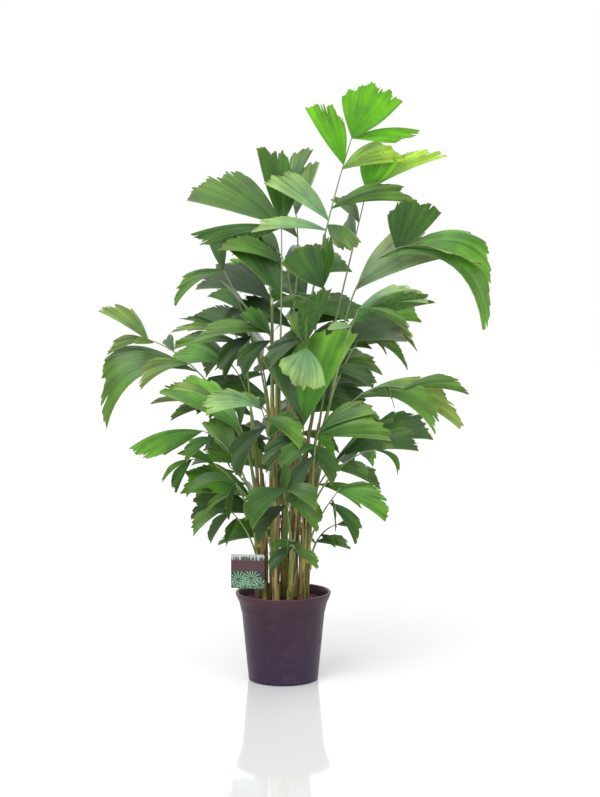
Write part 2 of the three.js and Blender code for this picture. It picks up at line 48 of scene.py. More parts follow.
# a socket that can stand in sums: numbers go through Math nodes, vectors and colours through Vector Math
class Wire:
    def __init__(self, graph, socket):
        self.graph, self.socket = graph, socket

    def isVector(self):
        return self.socket.type in {"VECTOR", "RGBA"}

    def __add__(self, other):
        return self.graph.maths("ADD", self, other)

    def __radd__(self, other):
        return self.graph.maths("ADD", other, self)

    def __sub__(self, other):
        return self.graph.maths("SUBTRACT", self, other)

    def __rsub__(self, other):
        return self.graph.maths("SUBTRACT", other, self)

    def __mul__(self, other):
        return self.graph.maths("MULTIPLY", self, other)

    __rmul__ = __mul__

    def __truediv__(self, other):
        return self.graph.maths("DIVIDE", self, other)

    def __pow__(self, other):
        return self.graph.maths("POWER", self, other)

    def of(self, operation, *others):
        return self.graph.add("ShaderNodeMath", {"operation": operation}, [self, *others])

    def between(self, low, high, smooth=True):
        kind = "SMOOTHSTEP" if smooth else "LINEAR"
        sockets = {"Value": self, "From Min": low, "From Max": high}
        return self.graph.add("ShaderNodeMapRange", {"interpolation_type": kind}, sockets)

    def towards(self, colour, amount):
        return self.graph.mixColour(amount, self, colour)


class Graph:
    def __init__(self, tree):
        self.tree = tree

    def find(self, sockets, key):
        shown = [s for s in sockets if s.enabled]
        if isinstance(key, int):
            return shown[key]
        return next(s for s in shown if key in (s.identifier, s.name))

    # settings go first, because they decide which sockets a node has
    def add(self, kind, settings=None, sockets=None, out=0):
        node = self.tree.nodes.new(kind)
        for name, value in (settings or {}).items():
            setattr(node, name, value)
        filled = dict(enumerate(sockets)) if isinstance(sockets, list) else sockets or {}
        for key, value in filled.items():
            socket = self.find(node.inputs, key)
            for item in value if isinstance(value, list) else [value]:
                if isinstance(item, Wire):
                    self.tree.links.new(item.socket, socket)
                else:
                    socket.default_value = item
        return Wire(self, self.find(node.outputs, out))

    def maths(self, operation, a, b):
        vectors = [isinstance(x, tuple) or (isinstance(x, Wire) and x.isVector()) for x in (a, b)]
        if not any(vectors):
            return self.add("ShaderNodeMath", {"operation": operation}, [a, b])
        if operation == "MULTIPLY" and not all(vectors):
            vector, factor = (a, b) if vectors[0] else (b, a)
            sockets = {"Vector": vector, "Scale": factor}
            return self.add("ShaderNodeVectorMath", {"operation": "SCALE"}, sockets)
        return self.add("ShaderNodeVectorMath", {"operation": operation}, [a, b])

    def combine(self, x, y, z):
        return self.add("ShaderNodeCombineXYZ", sockets=[x, y, z])

    def split(self, vector, axis):
        return self.add("ShaderNodeSeparateXYZ", sockets=[vector], out=axis)

    def noise(self, vector, scale=1.0, detail=2.0):
        return self.add("ShaderNodeTexNoise", sockets={"Vector": vector, "Scale": scale, "Detail": detail})

    def randomOf(self, number):
        return self.add("ShaderNodeTexWhiteNoise", {"noise_dimensions": "1D"}, {"W": number})

    def mixColour(self, factor, a, b):
        a, b = (ink(colour) if isinstance(colour, str) else colour for colour in (a, b))
        sockets = {"Factor_Float": factor, "A_Color": a, "B_Color": b}
        return self.add("ShaderNodeMix", {"data_type": "RGBA"}, sockets)


def ink(code):  # a hex colour as linear red, green, blue and alpha
    parts = [int(code[i:i + 2], 16) / 255 for i in (1, 3, 5)]
    return tuple(c / 12.92 if c <= 0.04045 else ((c + 0.055) / 1.055) ** 2.4 for c in parts) + (1.0,)


class Shader(Graph):
    def __init__(self, name):
        self.material = bpy.data.materials.new(name)
        self.material.use_nodes = True
        super().__init__(self.material.node_tree)
        self.tree.nodes.clear()

    def attribute(self, name, out="Fac"):
        return self.add("ShaderNodeAttribute", {"attribute_name": name}, out=out)

    def place(self):
        return self.add("ShaderNodeTexCoord", out="Object")

    def streaks(self, scale, detail=3.0):  # noise drawn out along the axis of least scale
        drawn = self.add("ShaderNodeMapping", sockets={"Vector": self.place(), "Scale": scale})
        return self.noise(drawn, 1.0, detail)

    # relief is a height, how strongly it shows and how deep it goes
    def surface(self, colour, roughness, relief, more=None):
        normal = self.add("ShaderNodeBump", sockets=dict(zip(("Height", "Strength", "Distance"), relief)))
        sockets = {"Base Color": colour, "Roughness": roughness, "Normal": normal, **(more or {})}
        return self.add("ShaderNodeBsdfPrincipled", sockets=sockets)

    def finish(self, shader):
        end = self.tree.nodes.new("ShaderNodeOutputMaterial")
        self.tree.links.new(shader.socket, end.inputs["Surface"])
        return self.material


leafTones = {
    "bright": "#5aa900", "lime": "#8cba3c", "fresh": "#508a22", "mid": "#466f22", "deep": "#315c16",
    "dark": "#22440f", "soft": "#66863c", "pale": "#7ea46c", "grey": "#6e8658", "olive": "#63742c",
}
# foot and outer scale the leaf colour: painted shade at the foot, painted light on the outer half
leafLook = {"gloss": 0.30, "shine": 0.36, "coat": 0.08, "coatRoughness": 0.22, "veinDepth": 0.0008,
            "glow": 0.16, "glowColour": "#86b82c", "foot": (0.44, 0.60, 0.62), "outer": (1.44, 1.20, 0.72),
            "margin": "#8f9c48", "dry": "#8a7434", "blemish": "#7c7430", "under": "#97ad80"}


def makeLeafFinish():
    g = Shader("fishtail leaf")
    u, v, ribs, seed = (g.attribute(name) for name in ("leafU", "leafV", "ribs", "seed"))
    tint, place, fan = g.attribute("tint", "Color"), g.place(), u * ribs
    # streaks run out from the foot, patches lie across them
    streaks = g.noise(g.combine(fan * 0.9 + seed * 5.0, v * 0.7, seed * 3.7), 1.0, 4.0).between(0.30, 0.70)
    threads = g.noise(g.combine(fan * 7.0 + seed, v * 0.8, seed), 1.0, 2.0)
    patches = g.noise(place, 16.0, 3.0).between(0.32, 0.68)
    speckle = g.noise(place, 420.0, 2.0)
    colour = tint * (0.38 + streaks * 0.56 + patches * 0.44 + threads * 0.22)
    # painted shade: the foot is darker and bluer, as where the leaflets crowd at the stalk; painted light:
    # the outer half is yellower and brighter
    colour = colour.towards(colour * leafLook["foot"], (1.0 - v).between(0.20, 1.0) * 0.75)
    colour = colour.towards(colour * leafLook["outer"], v.between(0.40, 1.0) * 0.6)
    margin = (u * 2.0 - 1.0).of("ABSOLUTE").between(0.93, 1.0)
    colour = colour.towards(leafLook["margin"], margin * 0.4)
    # the end is dry along its torn edge
    dry = v.between(0.962, 1.0) * g.noise(g.combine(u * 9.0, seed, 0.0), 1.0, 3.0).between(0.42, 0.62)
    colour = colour.towards(leafLook["dry"], dry * 0.7)
    colour = colour.towards(leafLook["blemish"], g.noise(place, 55.0, 4.0).between(0.68, 0.75) * 0.35)
    # undersides are paler, duller and mottled
    normal = g.add("ShaderNodeNewGeometry", out="Normal")
    under = (0.0 - g.split(normal, "Z")).between(0.02, 0.4)
    mottled = tint.towards(leafLook["under"], g.noise(place, 130.0, 4.0).between(0.42, 0.62) * 0.45)
    colour = colour.towards(mottled, under * 0.35)
    roughness = leafLook["gloss"] + under * 0.25 + patches * 0.14 + speckle * 0.05 + dry * 0.2
    height = threads * 0.5 + streaks * 0.9 + patches * 0.5 + speckle * 0.12
    leaf = g.surface(colour, roughness, (height, 0.8, leafLook["veinDepth"]), {
        "Specular IOR Level": leafLook["shine"], "Coat Weight": leafLook["coat"],
        "Coat Roughness": leafLook["coatRoughness"]})
    glow = g.add("ShaderNodeBsdfTranslucent", sockets={"Color": ink(leafLook["glowColour"])})
    return g.finish(g.add("ShaderNodeMixShader", sockets=[leafLook["glow"], leaf, glow]))


# a pair of colours is the dark and the light of one grain
stalkFinishLook = {"green": ("#4a6c30", "#8a9c5c"), "foot": ("#7d8a3a", "#9c8f4a"), "tip": "#7f8478",
                   "scurf": "#5a4a2a", "grain": (260.0, 260.0, 16.0), "grainDepth": 0.0006}


def makeStalkFinish():
    look, g = stalkFinishLook, Shader("green stalk")
    along, mottle, lengthwise = g.attribute("along"), g.noise(g.place(), 90.0, 3.0), g.streaks(look["grain"])
    green = g.mixColour(lengthwise, *look["green"]).towards(look["tip"], along.between(0.45, 1.0) * 0.5)
    colour = g.mixColour(mottle, *look["foot"]).towards(green, along.between(0.0, 0.35))
    scurf = mottle.between(0.60, 0.70)  # stalks shed it in flecks
    colour = colour.towards(look["scurf"], scurf * 0.5)
    height = lengthwise + scurf * 0.5
    return g.finish(g.surface(colour, 0.45 + lengthwise * 0.15, (height, 0.4, look["grainDepth"])))


caneFinishLook = {"green": ("#4f6a26", "#96a24c"), "straw": ("#7d6530", "#b9a560"),
                  "brown": ("#2e1e10", "#6a4c28"), "top": "#44662a", "pith": ("#b9b486", "#e0dab4"),
                  "grain": (420.0, 420.0, 14.0), "clouds": (60.0, 60.0, 9.0), "grainDepth": 0.0009}


def makeCaneFinish():
    look, g = caneFinishLook, Shader("sheathed cane")
    along, sheath, rim, seed, cut = (g.attribute(name) for name in ("along", "sheath", "rim", "seed", "cut"))
    lengthwise, broad = g.streaks(look["grain"], 4.0), g.streaks(look["clouds"])
    height = g.split(g.place(), "Z")
    green, straw, brown = (g.mixColour(lengthwise, *look[name]) for name in ("green", "straw", "brown"))
    colour = green.towards(straw, (g.randomOf(sheath + seed * 9.0) + broad).between(0.85, 1.15))
    colour = colour.towards(straw, height.between(0.42, 0.205) * (0.35 + broad * 0.75))
    stained = broad * 0.7 + g.noise(g.place(), 30.0, 4.0) * 0.7 + height.between(0.30, 0.20) * 0.25
    colour = colour.towards(brown, stained.between(0.78, 0.98) * 0.8)
    colour = colour.towards(brown, rim * 0.75)
    colour = colour.towards(look["top"], along.between(0.5, 1.0) * 0.6)
    pith = along.between(0.975, 0.985) * cut
    colour = colour.towards(g.mixColour(lengthwise, *look["pith"]), pith * 0.85)
    relief = (lengthwise * 0.8 + broad * 0.4, 0.6, look["grainDepth"])
    return g.finish(g.surface(colour, 0.5 + lengthwise * 0.25, relief))


sheathFinishLook = {"green": ("#4c6226", "#98a552"), "straw": ("#76602c", "#c0ab68"),
                    "brown": ("#26180d", "#64482a"), "grain": (500.0, 500.0, 22.0), "grainDepth": 0.0006}


def makeSheathFinish():
    look, g = sheathFinishLook, Shader("split sheath")
    tone, lengthwise = g.attribute("tone"), g.streaks(look["grain"])
    green, straw, brown = (g.mixColour(lengthwise, *look[name]) for name in ("green", "straw", "brown"))
    colour = brown.towards(straw, tone.between(0.25, 0.45)).towards(green, tone.between(0.55, 0.75))
    return g.finish(g.surface(colour, 0.55 + lengthwise * 0.25, (lengthwise, 0.5, look["grainDepth"])))


# lip is painted light: a lighter, redder colour for the band at the top of the pot
potFinishLook = {"plum": ("#281224", "#341a2f"), "foot": "#26173c", "lip": "#461c29", "dust": "#5e5056",
                 "scratch": "#6a5864", "gloss": 0.36, "shine": 0.32, "grainDepth": 0.0006,
                 "flow": (26.0, 26.0, 3.0), "scuffs": (40.0, 40.0, 260.0)}


def makePotFinish():
    look, g = potFinishLook, Shader("satin pot plastic")
    height, flow = g.split(g.place(), "Z"), g.streaks(look["flow"])
    dust = g.noise(g.place(), 34.0, 5.0).between(0.48, 0.75)
    grain = g.noise(g.place(), 1400.0, 2.0)
    scratched = g.streaks(look["scuffs"], 4.0).between(0.66, 0.72)
    body = g.mixColour(flow, *look["plum"]).towards(look["foot"], height.between(0.16, 0.0) * 0.6)
    # painted light: lighter and redder towards the lip, as where light falls on the top of the pot
    body = body.towards(look["lip"], height.between(0.190, 0.215) * 0.5)
    body = body.towards(look["dust"], dust * 0.16).towards(look["scratch"], scratched * 0.16)
    relief = (grain * 0.35 + flow * 0.8 - scratched * 0.3, 0.25, look["grainDepth"])
    more = {"Specular IOR Level": look["shine"]}
    return g.finish(g.surface(body, look["gloss"] + dust * 0.16 + grain * 0.08, relief, more))


soilFinishLook = {"peat": ("#2a0b12", "#6e2632"), "bark": "#6e2f32", "fleck": "#86685a", "wet": "#1c0d10",
                  "clodDepth": 0.002}


def makeSoilFinish():
    look, g = soilFinishLook, Shader("peat and bark")
    place, crumb = g.place(), g.attribute("crumb")
    clods, wet = g.noise(place, 110.0, 6.0), g.noise(place, 14.0, 3.0)
    colour = g.mixColour(clods, *look["peat"]).towards(look["bark"], crumb * 0.5)
    colour = colour.towards(look["fleck"], g.noise(place, 400.0, 3.0).between(0.64, 0.72) * 0.35)
    colour = colour.towards(look["wet"], wet.between(0.35, 0.65) * 0.4)
    relief = (clods + g.noise(place, 500.0, 3.0) * 0.4, 0.8, look["clodDepth"])
    return g.finish(g.surface(colour, 0.92 - wet * 0.3, relief))


# a spray of leaf blades is its middle across and upwards, how many blades, its turn and its size
printLook = {"ground": "#0c1514", "leaf": "#86c094", "light": "#d4e6d4", "band": ("#3c1722", "#50232f"),
             "strip": ("#b9bdb8", "#3c4a44"), "bandFoot": 0.50, "stripFoot": 0.80, "gloss": 0.3, "coat": 0.3,
             "sprays": ((0.22, 0.26, 13.0, 0.4, 0.30), (0.60, 0.30, 15.0, 1.1, 0.34),
                        (0.86, 0.10, 11.0, 0.2, 0.28), (0.42, 0.04, 12.0, 2.0, 0.26),
                        (0.05, 0.05, 9.0, 0.9, 0.22))}


def makePrintFinish():
    look, g = printLook, Shader("printed card")
    uv = g.add("ShaderNodeUVMap", {"uv_map": "print"})
    across, upwards = g.split(uv, "X"), g.split(uv, "Y")

    def spray(x, y, count, turn, size):  # brighter along each blade
        dx, dy = across - x, upwards - y
        far = (dx * dx + dy * dy) ** 0.5
        blade = (dy.of("ARCTAN2", dx) * (count * 0.5) + turn).of("SINE").of("ABSOLUTE") ** 5.0
        return blade * (1.0 - far / size).of("MAXIMUM", 0.0) ** 0.6 * far.between(0.0, 0.08)

    leaves, *others = [spray(*row) for row in look["sprays"]]
    for other in others:
        leaves = leaves.of("MAXIMUM", other)
    picture = g.mixColour(leaves.between(0.05, 0.7), look["ground"], look["leaf"])
    picture = picture.towards(look["light"], leaves.between(0.78, 0.98) * 0.45)
    band = g.mixColour(g.noise(g.place(), 60.0, 2.0) * 0.5, *look["band"])
    colour = picture.towards(band, upwards.between(look["bandFoot"], look["bandFoot"] + 0.015))
    # a grey strip with dark grass blades tops the card
    blades = g.noise(g.combine(across * 26.0, upwards * 2.0, 0.0), 1.0, 2.0)
    grass = g.mixColour((blades - (upwards - 0.86) * 1.6).between(0.42, 0.47), *look["strip"])
    colour = colour.towards(grass, upwards.between(look["stripFoot"], look["stripFoot"] + 0.05))
    worn = g.noise(g.place(), 300.0, 4.0)
    more = {"Coat Weight": look["coat"], "Coat Roughness": 0.15}
    return g.finish(g.surface(colour, look["gloss"] + worn * 0.15, (worn, 0.1, 0.0003), more))


stakeFinishLook = {"plastic": ("#221c1e", "#362c30"), "soiled": "#6b5242", "smears": (80.0, 80.0, 12.0),
                   "smearDepth": 0.0004}


def makeStakeFinish():
    look, g = stakeFinishLook, Shader("dark stake plastic")
    smear = g.streaks(look["smears"], 4.0)
    soiled = g.split(g.place(), "Z").between(0.25, 0.195) * (0.3 + smear)
    colour = g.mixColour(smear, *look["plastic"]).towards(look["soiled"], soiled.of("MINIMUM", 1.0) * 0.7)
    return g.finish(g.surface(colour, 0.35 + smear * 0.2, (smear, 0.2, look["smearDepth"])))


leafFinish, stalkFinish, caneFinish = makeLeafFinish(), makeStalkFinish(), makeCaneFinish()
sheathFinish, soilFinish, potFinish = makeSheathFinish(), makeSoilFinish(), makePotFinish()
printFinish, stakeFinish = makePrintFinish(), makeStakeFinish()
print("finishes made")


class Grower(Graph):  # builds a Geometry Nodes tree with named inputs
    def __init__(self, name, inputs):
        super().__init__(bpy.data.node_groups.new(name, "GeometryNodeTree"))
        sockets = self.tree.interface
        sockets.new_socket("Geometry", in_out="INPUT", socket_type="NodeSocketGeometry")
        for label, value in inputs.items():
            kind = "NodeSocketInt" if isinstance(value, int) else "NodeSocketFloat"
            sockets.new_socket(label, in_out="INPUT", socket_type=kind).default_value = value
        sockets.new_socket("Geometry", in_out="OUTPUT", socket_type="NodeSocketGeometry")
        self.start = self.tree.nodes.new("NodeGroupInput")

    def given(self, label):
        return Wire(self, self.start.outputs[label])

    def position(self):
        return self.add("GeometryNodeInputPosition")

    def attribute(self, name, kind="FLOAT"):
        settings = {"data_type": kind}
        return self.add("GeometryNodeInputNamedAttribute", settings, {"Name": name}, out="Attribute")

    def vector(self, name):
        return self.attribute(name, "FLOAT_VECTOR")

    def draw(self, low, high, seed):  # a number at random for each point
        sockets = {"Min_001": low, "Max_001": high, "Seed": seed}
        return self.add("FunctionNodeRandomValue", sockets=sockets, out="Value")

    def compare(self, operation, a, b):
        return self.add("FunctionNodeCompare", {"operation": operation}, {"A": a, "B": b})

    def store(self, geometry, name, value, kind="FLOAT", domain="POINT"):
        sockets = {"Geometry": geometry, "Name": name, "Value": value}
        return self.add("GeometryNodeStoreNamedAttribute", {"data_type": kind, "domain": domain}, sockets)

    def move(self, geometry, **sockets):
        return self.add("GeometryNodeSetPosition", sockets={"Geometry": geometry, **sockets})

    def tube(self, path, girth, sides):
        ring = self.add("GeometryNodeCurvePrimitiveCircle", sockets={"Resolution": sides, "Radius": 1.0})
        sockets = {"Curve": path, "Profile Curve": ring, "Scale": girth, "Fill Caps": True}
        return self.add("GeometryNodeCurveToMesh", sockets=sockets)

    def instances(self, points, shape, **more):
        sockets = {"Points": points, "Instance": shape, **more}
        return self.add("GeometryNodeInstanceOnPoints", sockets=sockets)

    def realize(self, instances):
        return self.add("GeometryNodeRealizeInstances", sockets=[instances])

    def paint(self, geometry, material):
        return self.add("GeometryNodeSetMaterial", sockets={"Geometry": geometry, "Material": material})

    def smooth(self, *parts):
        joined = self.add("GeometryNodeJoinGeometry", sockets={"Geometry": list(parts)})
        return self.add("GeometryNodeSetShadeSmooth", sockets={"Geometry": joined})

    def crease(self, geometry, degrees=40):  # edges sharper than this stay crisp
        angle = self.add("GeometryNodeInputMeshEdgeAngle")
        crisp = self.compare("GREATER_THAN", angle, math.radians(degrees))
        return self.store(geometry, "sharp_edge", crisp, "BOOLEAN", "EDGE")

    def finish(self, geometry):
        end = self.tree.nodes.new("NodeGroupOutput")
        self.tree.links.new(geometry.socket, end.inputs["Geometry"])
        return self.tree


def addLayer(mesh, name, kind, values):
    field = {"FLOAT": "value", "BOOLEAN": "value", "FLOAT_VECTOR": "vector", "FLOAT_COLOR": "color"}[kind]
    flat = [x for value in values for x in (value if hasattr(value, "__len__") else (value,))]
    mesh.attributes.new(name, kind, "POINT").data.foreach_set(field, flat)


def addPiece(name, data):
    piece = bpy.data.objects.new(name, data)
    scene.collection.objects.link(piece)
    return piece


def grow(name, seeds, tree):  # runs the tree on the seeds and keeps the result as a plain mesh
    holder = addPiece(name + " seeds", seeds)
    holder.modifiers.new("grow", "NODES").node_group = tree
    depsgraph = bpy.context.evaluated_depsgraph_get()
    evaluated = holder.evaluated_get(depsgraph)
    mesh = bpy.data.meshes.new_from_object(evaluated, preserve_all_data_layers=True, depsgraph=depsgraph)
    mesh.name = name
    bpy.data.objects.remove(holder)
    return addPiece(name, mesh)


def handOver(piece, slot, *nodes):
    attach(piece, "root")
    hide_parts(*nodes)


def lerp(a, b, t):
    return a + (b - a) * t


def turned(vector, degrees):
    return Matrix.Rotation(math.radians(degrees), 3, "Z") @ Vector(vector)


caneSize = {"depth": 45, "radius": 7.5, "topRadius": 3.4, "inner": 28, "innerTurn": 18, "outer": 56}
caneLook = {"Steps": 110, "Sides": 16, "Sheath spacing": 0.062, "Sheath flare": 0.0019, "Rim slant": 0.22,
            "Ridge": 0.0015, "Strips": 46, "Strip limit": 0.62, "Strip width": 0.0085, "Strip length": 0.115,
            "Strip splay": 0.009, "Strip gap": 0.0012, "Strip bend": 0.0016}
ringOf = {"centre": (0, 0, 1), "inner": (caneSize["inner"], caneSize["innerTurn"], 5),
          "outer": (caneSize["outer"], 0, 10)}
# ring, place in the ring, the top's offset from the foot and its height, in millimetres
canes = [
    ("centre", 0, 50, 0, 700), ("inner", 0, 68, 16, 560), ("inner", 1, 20, 42, 620),
    ("inner", 2, -1, 11, 755), ("inner", 3, 2, -17, 600), ("inner", 4, 36, -27, 520),
    ("outer", 0, 44, 0, 440), ("outer", 1, 45, 27, 440), ("outer", 2, 23, 47, 460),
    ("outer", 3, -8, 57, 400), ("outer", 4, -15, 37, 370), ("outer", 5, -14, 0, 400),
    ("outer", 6, -20, -27, 300), ("outer", 7, -13, -37, 240), ("outer", 8, 40, -30, 397),
    ("outer", 9, 40, -27, 380),
]
prunedCanes = {3, 14}  # their tops are cut and show pale pith


def quadratic(a, b, c):
    return lambda t: a * (1 - t) ** 2 + b * (2 * t * (1 - t)) + c * t * t


def cubic(a, b, c, d):
    return lambda t: a * (1 - t) ** 3 + b * (3 * t * (1 - t) ** 2) + c * (3 * t * t * (1 - t)) + d * t ** 3


def tangent(curve, t):
    return (curve(min(t + 1e-4, 1)) - curve(max(t - 1e-4, 0))).normalized()


def caneCurve(cane):
    ring, place, leanX, leanY, height = cane
    radius, turn, count = ringOf[ring]
    bearing = math.radians(turn + place * 360 / count)
    foot = Vector((radius * math.cos(bearing), radius * math.sin(bearing), -caneSize["depth"]))
    middle, top = foot.copy(), foot + Vector((leanX, leanY, 0))
    middle.z, top.z = height / 2, height
    return quadratic(foot, middle, top)


def caneAt(cane, height):
    curve = caneCurve(cane)
    t = (height + caneSize["depth"]) / (cane[4] + caneSize["depth"])
    return curve(t), lerp(caneSize["radius"], caneSize["topRadius"], t), tangent(curve, t)


def toWorld(point):
    return point * mm + upward * soilLevel


def makeCaneTree():
    g = Grower("sheathed cane", caneLook)
    path = g.add("GeometryNodeMeshToCurve", sockets={"Mesh": g.given("Geometry")})
    path = g.add("GeometryNodeResampleCurve", sockets={"Curve": path, "Count": g.given("Steps")})
    path = g.store(path, "rise", g.add("GeometryNodeSplineParameter", out="Length"))
    path = g.store(path, "along", g.add("GeometryNodeSplineParameter", out="Factor"))
    path = g.store(path, "middle", g.position(), "FLOAT_VECTOR")
    girth, seed, along = g.attribute("girth"), g.attribute("seed"), g.attribute("along")
    skin = g.tube(path, girth, g.given("Sides"))
    # each sheath widens up to its slanted rim, and the next one starts inside it
    fromMiddle = g.position() - g.vector("middle")
    outwards = g.add("ShaderNodeVectorMath", {"operation": "NORMALIZE"}, [fromMiddle])
    angle = g.split(outwards, "Y").of("ARCTAN2", g.split(outwards, "X"))
    rise = g.attribute("rise") / g.given("Sheath spacing") + seed
    turn = g.randomOf((rise + 0.5).of("FLOOR")) * math.tau
    slanted = rise + (angle + turn).of("SINE") * g.given("Rim slant")
    number = slanted.of("FLOOR")
    within = slanted - number
    skin = g.store(skin, "sheath", number)
    skin = g.store(skin, "rim", within.between(0.90, 1.0))
    flare = (g.randomOf(number + seed * 3.0) * 0.6 + 0.4) * g.given("Sheath flare")
    ridges = g.noise(g.combine(angle * 2.2, rise * 0.35, seed * 5.0), 1.0, 2.0) - 0.5
    fade = (1.0 - along) * 0.75 + 0.25
    swell = (flare * within.between(0.0, 1.0, False) + ridges * g.given("Ridge")) * fade
    skin = g.paint(g.move(skin, Offset=outwards * swell), caneFinish)

    # strips of old sheath stand round the lower part, held at the foot and splayed at the top
    spots = g.add("GeometryNodeCurveToPoints", {"mode": "COUNT"},
                  {"Curve": path, "Count": g.given("Strips")}, out="Points")
    traits = {"heading": g.draw(0.0, math.tau, 21) + seed * 3.0, "tone": g.draw(0.0, 1.0, 22),
              "wide": g.draw(0.35, 1.0, 23) * g.given("Strip width"),
              "tall": g.draw(0.30, 1.0, 24) * g.given("Strip length"),
              "splay": g.draw(0.0, 1.0, 25) ** 2.0 * g.given("Strip splay")}
    for trait, value in traits.items():
        spots = g.store(spots, trait, value)
    spots = g.store(spots, "root", g.position(), "FLOAT_VECTOR")
    strip = g.add("GeometryNodeMeshGrid", out="Mesh", sockets={
        "Size X": 1.0, "Size Y": 1.0, "Vertices X": 5, "Vertices Y": 9})
    strip = g.store(strip, "acrossStrip", g.split(g.position(), "X"))
    strip = g.store(strip, "upStrip", g.split(g.position(), "Y") + 0.5)
    low = g.compare("LESS_THAN", along, g.given("Strip limit"))
    strips = g.realize(g.instances(spots, strip, Selection=low))
    x, y, gap = g.attribute("acrossStrip"), g.attribute("upStrip"), g.given("Strip gap")
    narrow = (1.0 - y ** 3.0 * 0.8) * g.attribute("wide")
    heading = g.attribute("heading") + x * narrow / (girth + g.given("Strip bend"))
    ray = g.combine(heading.of("COSINE"), heading.of("SINE"), 0.0)
    far = girth + gap + y * gap + y ** 2.0 * g.attribute("splay")
    climb = g.vector("lean") * (y * g.attribute("tall"))
    strips = g.move(strips, Position=g.vector("root") + climb + ray * far)
    return g.finish(g.crease(g.smooth(skin, g.paint(strips, sheathFinish))))


random.seed(11)
caneTree = makeCaneTree()
steps = 16
for index, cane in enumerate(canes):
    name, curve = f"cane{index + 1:02d}", caneCurve(cane)
    seeds = bpy.data.meshes.new(name)
    seeds.from_pydata([toWorld(curve(i / steps)) for i in range(steps + 1)],
                      [(i, i + 1) for i in range(steps)], [])
    radii = [lerp(caneSize["radius"], caneSize["topRadius"], i / steps) * mm for i in range(steps + 1)]
    addLayer(seeds, "girth", "FLOAT", radii)
    addLayer(seeds, "seed", "FLOAT", [random.uniform(0, 9)] * (steps + 1))
    addLayer(seeds, "cut", "FLOAT", [float(index in prunedCanes)] * (steps + 1))
    addLayer(seeds, "lean", "FLOAT_VECTOR", [tangent(curve, i / steps) for i in range(steps + 1)])
    handOver(grow(name, seeds, caneTree), "cane", f"stem_{index + 1:02d}")
print("canes grown")


frondSize = {"petioleRadius": 3.2, "tipRadius": 1.3, "steps": 5, "lastFoot": 0.985, "thickness": 1.6,
             "gap": 0.3, "footWidth": 3, "cup": 0.03, "slack": 0.001,
             "pathSteps": 28, "sheathReach": 26, "sheathSwell": 1.6}
leafletLook = {"Columns": 61, "Rows": 12, "Stalk sides": 8, "Thickness": 0.0006, "Foot thickness": 0.0016,
               "Tooth": 0.05, "Lobe": 0.17, "Cleft": 0.13, "Whole": 0.80, "Pleat": 0.0015, "Wave": 0.055,
               "Ruffle": 0.010, "Bulge": 0.055, "Trough": frondSize["cup"],
               "Foot width": frondSize["footWidth"] * mm}
# where a leaflet or a stalk stood too near another, the frame laid it another way, by one of these
bowTries = (0, 10, -10, 20, -20, 30, -30, 45, -45, 60, -60)
turnTries = (0, 35, -35, 70, -70)
swingTries = (0, 6, -6, 12, -12, 18, -18, 25, -25, 33, -33, 42, -42)
liftTries = (0, 9, -9, 18)

